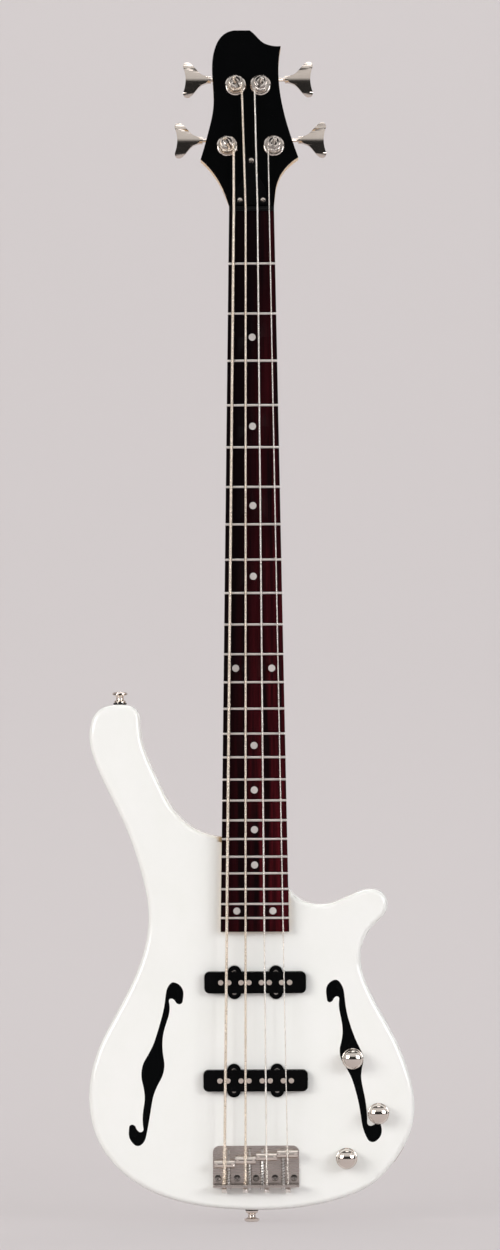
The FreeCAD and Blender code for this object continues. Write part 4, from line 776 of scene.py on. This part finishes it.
def knobProfile(plan):
    radius, neck, start, band = plan["radius"], plan["neck"], plan["start"], plan["band"]
    bore, boreEase, rim, shoulder = plan["bore"], plan["boreEase"], plan["rim"], plan["shoulder"]
    flareOut, flareUp = plan["flare"]
    dome = plan["top"] - shoulder
    points = [(bore, plan["boreDepth"]), (bore, start + boreEase), (bore + boreEase, start)]
    points += [(radius - rim, start), (radius, start + rim)]
    points += [(radius - inward, band + upward) for inward, upward in plan["bandEase"]]
    points += [(neck + flareOut, band + flareUp), (neck, shoulder)]
    points += [(neck * math.cos(turn), shoulder + dome * math.sin(turn)) for turn in plan["dome"]]
    return inMetres(points + [(0, plan["top"])])


knobModel = lathe("knobModel", knobProfile(knobPlan), knobPlan["sides"])
smoothShade(knobModel, knobPlan["smooth"])
for nodeName in ("volume_knob", "balance_knob", "tone_knob"):
    low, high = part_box(nodeName)
    piece = copyPiece(knobModel)
    piece.name = nodeName + ".modelled"
    placePiece(piece, ((low[0] + high[0]) / 2, knobPlan["face"] * mm, (low[2] + high[2]) / 2), front)
    giveFinish(piece, warmChrome)
    fitPiece(piece, nodeName)
dropPieces([knobModel])
print("knobs turned")


# felt washers under the strap buttons

feltPlan = {
    "places": (((-123.0, 0, 463.9), up), ((-4.0, 0, 0), down)),
    "outer": 6.2,
    "inner": 2.4,
    "height": 1.6,
    "dip": 0.05,
    "rim": (0.45, 0.02),
    "cheek": (0.12, 0.45),
    "sides": 40,
    "smooth": 60,
}


def feltProfile(plan):
    inner, outer, height, dip = plan["inner"], plan["outer"], plan["height"], plan["dip"]
    (rimIn, rimUp), (cheekIn, cheekShare) = plan["rim"], plan["cheek"]
    half = height / 2
    points = [(inner, dip), (outer - rimIn, rimUp), (outer - cheekIn, half * cheekShare), (outer, half)]
    points += [(outer - cheekIn, half * (2 - cheekShare)), (outer - rimIn, height - rimUp)]
    return inMetres(points + [(inner, height - dip), (inner, dip)])


washers = []
for place, outward in feltPlan["places"]:
    washer = lathe("washer", feltProfile(feltPlan), feltPlan["sides"])
    placePiece(washer, [value * mm for value in place], outward)
    washers.append(washer)
washer = joinPieces(washers, "strapWashers.modelled")
smoothShade(washer, feltPlan["smooth"])
giveFinish(washer, feltBlack)
fitPiece(washer, "strap_washers")
print("felt washers made")


# strings with ball ends, wound round their posts

stringPlan = {
    "names": "eadg",
    "diameters": (2.67, 2.16, 1.65, 1.14),
    "setbacks": (9.5, 6.0, 3.0, 0.5),
    "posts": tuple(postPlan["places"].values()),
    "turns": (1.75, 2.25, 2.25, 2.25),
    "saddleLine": 52.4,
    "nutLine": 918.0,
    "nutOut": 2.0,
    "nutSpacing": 10.8,
    "bridgeSpacing": 19.2,
    "boardTop": 29.0,
    "boardRadius": 400.0,
    "riseAtNut": 1.6,
    "riseAtSaddle": 5.3,
    "groove": 2.65,
    "ball": (18.8, 25.2),
    "waist": 4.5,
    "postFoot": 3.4,
    "slotFloor": 6.7,
    "archSteps": 8,
    "windSteps": 24,
    "windClear": 0.15,
    "windGap": 0.5,
    "bend": 0.75,
    "bendSteps": 5,
    "bronzeCount": 2,
    "sides": 4,
    "smooth": 50,
}


def boardDrop(plan, x):
    return plan["boardRadius"] - math.sqrt(plan["boardRadius"] ** 2 - x * x)


def stringPoints(plan, index):
    radius = plan["diameters"][index] / 2
    offset = index - (len(plan["names"]) - 1) / 2
    nutX, bridgeX = offset * plan["nutSpacing"], offset * plan["bridgeSpacing"]
    nutZ = plan["nutLine"]
    nutUp = plan["boardTop"] + plan["riseAtNut"] + radius - boardDrop(plan, nutX)
    saddleZ = plan["saddleLine"] - plan["setbacks"][index]
    reach = plan["groove"] + radius * math.sqrt(2)
    axisUp = plan["boardTop"] + plan["riseAtSaddle"] + radius - boardDrop(plan, bridgeX) - reach
    ballZ, ballUp = plan["ball"]
    rise, run = axisUp - ballUp, saddleZ - ballZ
    climb = math.atan2(rise, run) + math.asin(reach / math.hypot(rise, run))
    fall = math.atan2(nutUp - axisUp - reach, nutZ - saddleZ)
    flat = [(ballZ, ballUp)]
    for step in range(plan["archSteps"] + 1):
        angle = climb + (fall - climb) * step / plan["archSteps"]
        flat.append((saddleZ - reach * math.sin(angle), axisUp + reach * math.cos(angle)))
    flat.append((nutZ, nutUp))
    points = []
    for z, height in flat:
        x = bridgeX + (nutX - bridgeX) * (z - saddleZ) / (nutZ - saddleZ)
        points.append(Vector((x, -height, z)) * mm)
    return points + windingPoints(plan, index, nutX)


def windingPoints(plan, index, nutX):
    diameter = plan["diameters"][index]
    x, along = plan["posts"][index]
    side = -1 if x < 0 else 1
    orbit = plan["waist"] + diameter / 2 + plan["windClear"]
    pitch = diameter + plan["windGap"]
    turns = plan["turns"][index]
    last = plan["postFoot"] + plan["slotFloor"] + diameter / 2
    run = along - plan["nutOut"]
    aim = math.atan2(run, x - nutX) + side * math.asin(orbit / math.hypot(x - nutX, run))
    first = aim + side * math.pi / 2
    steps = int(turns * plan["windSteps"])
    places = []
    for step in range(steps + 1):
        angle = first - side * 2 * math.pi * turns * step / steps
        height = last - turns * pitch * (1 - step / steps)
        places.append((x + orbit * math.cos(angle), height, along + orbit * math.sin(angle)))
    bend = plan["bend"] * diameter
    middle = orbit - bend
    bendX, bendAlong = x + middle * math.cos(angle), along + middle * math.sin(angle)
    turnIn = math.acos(-bend / middle)
    for step in range(1, plan["bendSteps"] + 1):
        swing = angle - side * turnIn * step / plan["bendSteps"]
        places.append((bendX + bend * math.cos(swing), last, bendAlong + bend * math.sin(swing)))
    places.append((x, last, along))
    return [onHead(*(value * mm for value in place)) for place in places]


def tubeAlong(name, points, radius, sides):
    clearSelection()
    curve = bpy.data.curves.new(name, "CURVE")
    curve.dimensions = "3D"
    curve.bevel_depth = radius
    curve.bevel_resolution = sides
    curve.use_fill_caps = True
    spline = curve.splines.new("POLY")
    spline.points.add(len(points) - 1)
    for knot, point in zip(spline.points, points):
        knot.co = (*point, 1)
    piece = bpy.data.objects.new(name, curve)
    bpy.context.scene.collection.objects.link(piece)
    makeActive(piece)
    bpy.ops.object.convert(target="MESH")
    return bpy.context.object


twistPlan = {"start": 6.3, "wire": 0.3, "out": 0.6, "turns": 6, "turnSteps": 12, "pitch": 2.2, "sides": 2}


def lockTwist(plan, name, start, direction, radius):
    side = direction.cross(Vector((1, 0, 0))).normalized()
    other = direction.cross(side)
    wire = radius * plan["wire"]
    orbit = radius + wire * plan["out"]
    points = []
    for step in range(plan["turns"] * plan["turnSteps"] + 1):
        turns = step / plan["turnSteps"]
        angle = 2 * math.pi * turns
        spot = start + direction * (plan["pitch"] * mm * turns)
        points.append(spot + (side * math.cos(angle) + other * math.sin(angle)) * orbit)
    return tubeAlong(name, points, wire, plan["sides"])


ballPlan = {
    "profile": (
        (1.0, -2.3), (2.3, -2.3), (2.6, -2.0), (2.6, -1.2), (2.1, -0.7), (2.1, 0.7),
        (2.6, 1.2), (2.6, 2.0), (2.3, 2.3), (1.0, 2.3), (1.0, -2.3),
    ),
    "sides": 24,
}
for index, letter in enumerate(stringPlan["names"]):
    nodeName, saddleName = "string_" + letter, "saddle_" + letter
    radius = stringPlan["diameters"][index] / 2 * mm
    points = stringPoints(stringPlan, index)
    leave = 1 + stringPlan["archSteps"]  # where the string leaves its saddle
    wire = tubeAlong(nodeName + ".modelled", points[leave:], radius, stringPlan["sides"])
    tail = tubeAlong("tail", points[:leave + 1], radius, stringPlan["sides"])
    lead = (points[1] - points[0]).normalized()
    twist = lockTwist(twistPlan, "twist", points[0] + lead * twistPlan["start"] * mm, lead, radius)
    ball = lathe("ball", inMetres(ballPlan["profile"]), ballPlan["sides"])
    placePiece(ball, points[0], (1, 0, 0))
    for part in (wire, tail, twist):
        giveFinish(part, bronzeWound if index < stringPlan["bronzeCount"] else steelWound)
    giveFinish(ball, fretNickel)
    tail = joinPieces([tail, twist, ball], nodeName + ".tail")
    for part in (wire, tail):
        shadeByAngle(part, stringPlan["smooth"])
    stretchPiece(wire, nodeName, saddleName, "instrument", points[leave], points[leave + 1])
    stretchPiece(tail, nodeName, "instrument", saddleName, points[0], points[1])
print("strings strung")


# compression springs on the intonation screws

springPlan = {
    "wire": 0.275,
    "radius": 1.95,
    "start": 24.675,
    "places": (-25.0, -5.8, 5.8, 25.0),
    "heights": (-30.059, -31.087, -31.193, -30.376),
    "turns": (6, 7, 8, 9),
    "saddleRadius": 3.75,
    "endGap": 0.575,
    "sides": 10,
    "turnSteps": 20,
    "smooth": 60,
}


def windSpring(plan, turns, length):
    clearSelection()
    bpy.ops.mesh.primitive_circle_add(
        vertices=plan["sides"], radius=plan["wire"] * mm, rotation=(math.pi / 2, 0, 0),
        location=(plan["radius"] * mm, 0, 0), fill_type="NOTHING")
    spring = bpy.context.object
    bpy.ops.object.transform_apply(location=True, rotation=True, scale=True)
    steps = plan["turnSteps"] * turns
    runModifier(spring, "SCREW", angle=2 * math.pi * turns, screw_offset=length * mm,
                steps=steps, render_steps=steps, axis="Z", use_merge_vertices=False)
    bpy.ops.object.mode_set(mode="EDIT")
    bpy.ops.mesh.select_all(action="SELECT")
    bpy.ops.mesh.normals_make_consistent(inside=False)
    bpy.ops.mesh.select_all(action="DESELECT")
    bpy.ops.mesh.select_non_manifold()
    bpy.ops.mesh.fill_holes(sides=0)
    bpy.ops.object.mode_set(mode="OBJECT")
    return spring


for index, letter in enumerate(stringPlan["names"]):
    start = springPlan["start"]
    saddleZ = stringPlan["saddleLine"] - stringPlan["setbacks"][index]
    end = saddleZ - springPlan["saddleRadius"] - springPlan["endGap"]
    x, y = springPlan["places"][index] * mm, springPlan["heights"][index] * mm
    spring = windSpring(springPlan, springPlan["turns"][index], end - start)
    placePiece(spring, (x, y, start * mm), up)
    shadeByAngle(spring, springPlan["smooth"])
    spring.name = "intonationSpring_" + letter + ".modelled"
    giveFinish(spring, springSteel)
    ends = ((x, y, start * mm), (x, y, end * mm))
    stretchPiece(spring, "intonation_springs", "instrument", "saddle_" + letter, *ends)
print("springs wound")


# side dots on the bass edge of the fingerboard

sideDotPlan = {
    "frets": (3, 5, 7, 9, 12, 15, 17, 19, 21, 24),
    "pairs": (12, 24),
    "pairOffsets": (-3.0, 3.0),
    "scale": 863.6,
    "level": -26.2,
    "nutHalf": 20.6,
    "nutZ": 916.0,
    "endHalf": 31.35,
    "endZ": 255.6,
    "profile": ((1.1, -0.6), (1.1, 0.0), (0.88, 0.05), (0, 0.06)),
    "sides": 20,
    "smooth": 40,
}


def fretPlace(fret):
    return stringPlan["saddleLine"] + sideDotPlan["scale"] / 2 ** (fret / 12)


dots = []
for fret in sideDotPlan["frets"]:
    z = (fretPlace(fret) + fretPlace(fret - 1)) / 2
    share = (z - sideDotPlan["endZ"]) / (sideDotPlan["nutZ"] - sideDotPlan["endZ"])
    half = sideDotPlan["endHalf"] + (sideDotPlan["nutHalf"] - sideDotPlan["endHalf"]) * share
    for offset in (sideDotPlan["pairOffsets"] if fret in sideDotPlan["pairs"] else (0.0,)):
        dot = lathe("sideDot", inMetres(sideDotPlan["profile"]), sideDotPlan["sides"])
        placePiece(dot, (-half * mm, sideDotPlan["level"] * mm, (z + offset) * mm), (-1, 0, 0))
        dots.append(dot)
dot = joinPieces(dots, "sideDots")
smoothShade(dot, sideDotPlan["smooth"])
giveFinish(dot, pearlDot)
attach(dot, "instrument")
print("side dots set")


# stage, light and camera

stagePlan = {
    "floor": -12.0 * mm,
    "reach": (40.0, 4.6),
    "behind": 1.25,
    "width": 6.0,
    "height": 4.5,
    "sweep": 0.5,
    "sweepSteps": 16,
    "foot": 0.75,
    "lift": 0.2 * mm,
    "near": 0.01,
    "rim": 96,
    "smooth": 60,
    "colour": (0.644, 0.602, 0.603, 1),
    "rough": 0.95,
    "glow": 0.72,
}


def buildFloor(plan):
    clearSelection()
    bpy.ops.mesh.primitive_circle_add(
        vertices=plan["rim"], radius=1, location=(0, 0, plan["floor"]), fill_type="NGON")
    floor = bpy.context.object
    floor.name = "studioFloor"
    bpy.ops.transform.resize(value=(*plan["reach"], 1))
    bpy.ops.object.transform_apply(location=True, rotation=True, scale=True)
    return floor


def buildBackdrop(plan):
    def atBack(edge):
        return edgeMiddle(edge).y > plan["behind"] - plan["near"]

    def atFold(edge):
        return edgeMiddle(edge).z < plan["floor"] + plan["near"] and atBack(edge)

    clearSelection()
    bpy.ops.mesh.primitive_plane_add(size=1, location=(0, 0, 0))
    paper = bpy.context.object
    paper.name = "backdrop"
    bpy.ops.object.mode_set(mode="EDIT")
    bpy.ops.mesh.select_all(action="SELECT")
    bpy.ops.transform.resize(value=(plan["width"], plan["foot"], 1))
    bpy.ops.transform.translate(value=(0, plan["behind"] - plan["foot"] / 2, plan["floor"] + plan["lift"]))
    mesh = bmesh.from_edit_mesh(paper.data)
    bpy.ops.mesh.select_mode(type="EDGE")
    bpy.ops.mesh.select_all(action="DESELECT")
    for edge in mesh.edges:
        edge.select_set(atBack(edge))
    bmesh.update_edit_mesh(paper.data)
    bpy.ops.mesh.extrude_region_move(TRANSFORM_OT_translate={"value": (0, 0, plan["height"])})
    bpy.ops.object.mode_set(mode="OBJECT")
    bevelWhere(paper, atFold, plan["sweep"], plan["sweepSteps"])
    shadeByAngle(paper, plan["smooth"])
    return paper


def stageFinish(plan):
    finish = bpy.data.materials.new("paperGrey")
    finish.use_nodes = True
    tree = finish.node_tree
    shader = tree.nodes["Principled BSDF"]
    shader.inputs["Base Color"].default_value = plan["colour"]
    shader.inputs["Roughness"].default_value = plan["rough"]
    glow = addNode(tree, "ShaderNodeEmission")
    glow.inputs["Color"].default_value = plan["colour"]
    rays = addNode(tree, "ShaderNodeLightPath")
    most = rays.outputs["Is Camera Ray"]
    for label in ("Is Glossy Ray", "Is Transmission Ray"):
        add = addNode(tree, "ShaderNodeMath", operation="MAXIMUM")
        tree.links.new(most, add.inputs[0])
        tree.links.new(rays.outputs[label], add.inputs[1])
        most = add.outputs[0]
    share = addNode(tree, "ShaderNodeMath", operation="MULTIPLY")
    share.inputs[1].default_value = plan["glow"]
    tree.links.new(most, share.inputs[0])
    mix = addNode(tree, "ShaderNodeMixShader")
    tree.links.new(share.outputs[0], mix.inputs[0])
    tree.links.new(shader.outputs[0], mix.inputs[1])
    tree.links.new(glow.outputs[0], mix.inputs[2])
    side = addNode(tree, "ShaderNodeNewGeometry")
    clear = addNode(tree, "ShaderNodeBsdfTransparent")
    oneSided = addNode(tree, "ShaderNodeMixShader")  # from behind, the paper doesn't hide the object
    tree.links.new(side.outputs["Backfacing"], oneSided.inputs[0])
    tree.links.new(mix.outputs[0], oneSided.inputs[1])
    tree.links.new(clear.outputs[0], oneSided.inputs[2])
    tree.links.new(oneSided.outputs[0], tree.nodes["Material Output"].inputs["Surface"])
    return finish


paperGrey = stageFinish(stagePlan)
for stage in (buildFloor(stagePlan), buildBackdrop(stagePlan)):
    giveFinish(stage, paperGrey)

lampPlan = {
    "key": {
        "place": (-2.6, -2.6, 1.2), "aim": (0, 0, 0.15), "size": (2.2, 1.5),
        "power": 73.0, "colour": (1.0, 0.985, 0.96),
    },
    "fill": {
        "place": (2.7, -2.5, 1.15), "aim": (0, 0, 0.15), "size": (2.1, 1.4),
        "power": 63.0, "colour": (0.97, 0.985, 1.0),
    },
    "top": {
        "place": (0.2, -0.5, 2.4), "aim": (0, 0, 0.6), "size": (1.0, 0.8),
        "power": 5.0, "colour": (1.0, 1.0, 1.0),
    },
    "back": {
        "place": (0.0, 0.95, 2.1), "aim": (0, 0, 0.35), "size": (1.4, 0.5),
        "power": 9.0, "colour": (1.0, 0.99, 0.975),
    },
}
for name, plan in lampPlan.items():
    clearSelection()
    bpy.ops.object.light_add(type="AREA", location=plan["place"])
    lamp = bpy.context.object
    lamp.name = name + "Lamp"
    ray = Vector(plan["aim"]) - Vector(plan["place"])
    lamp.rotation_euler = ray.to_track_quat("-Z", "Y").to_euler()
    lamp.data.shape = "RECTANGLE"
    lamp.data.size, lamp.data.size_y = plan["size"]
    lamp.data.energy = plan["power"]
    lamp.data.color = plan["colour"]

worldPlan = {
    "strength": 0.8,
    "tint": (1.0, 0.99, 0.98),
    "steps": ((0.0, 0.04), (0.645, 0.03), (0.685, 0.85), (0.87, 0.95), (0.91, 0.10), (1.0, 0.06)),
}
world = bpy.data.worlds.new("studio")
bpy.context.scene.world = world
world.use_nodes = True
tree = world.node_tree
where = addNode(tree, "ShaderNodeTexCoord")
split = addNode(tree, "ShaderNodeSeparateXYZ")
ramp = addNode(tree, "ShaderNodeValToRGB")
tree.links.new(where.outputs["Generated"], split.inputs[0])
tree.links.new(ranged(tree, split.outputs["Z"], 0.0, 1.0, -1.0, 1.0), ramp.inputs[0])
steps = ramp.color_ramp.elements
while len(steps) < len(worldPlan["steps"]):
    steps.new(0.5)
for step, (position, grey) in zip(steps, worldPlan["steps"]):
    step.position, step.color = position, (*(grey * share for share in worldPlan["tint"]), 1)
tree.links.new(ramp.outputs[0], tree.nodes["Background"].inputs["Color"])
tree.nodes["Background"].inputs["Strength"].default_value = worldPlan["strength"]

cameraPlan = {"place": (-0.0032, -8.029, 0.5366), "roll": 0.0047, "lens": 251.6, "sensor": 36, "far": 30}
clearSelection()
bpy.ops.object.camera_add(location=cameraPlan["place"], rotation=(math.pi / 2, cameraPlan["roll"], 0))
camera = bpy.context.object
camera.data.sensor_width = cameraPlan["sensor"]
camera.data.lens = cameraPlan["lens"]
camera.data.clip_end = cameraPlan["far"]
bpy.context.scene.camera = camera
bpy.context.scene.view_settings.view_transform = "Standard"
print("stage, light and camera ready")
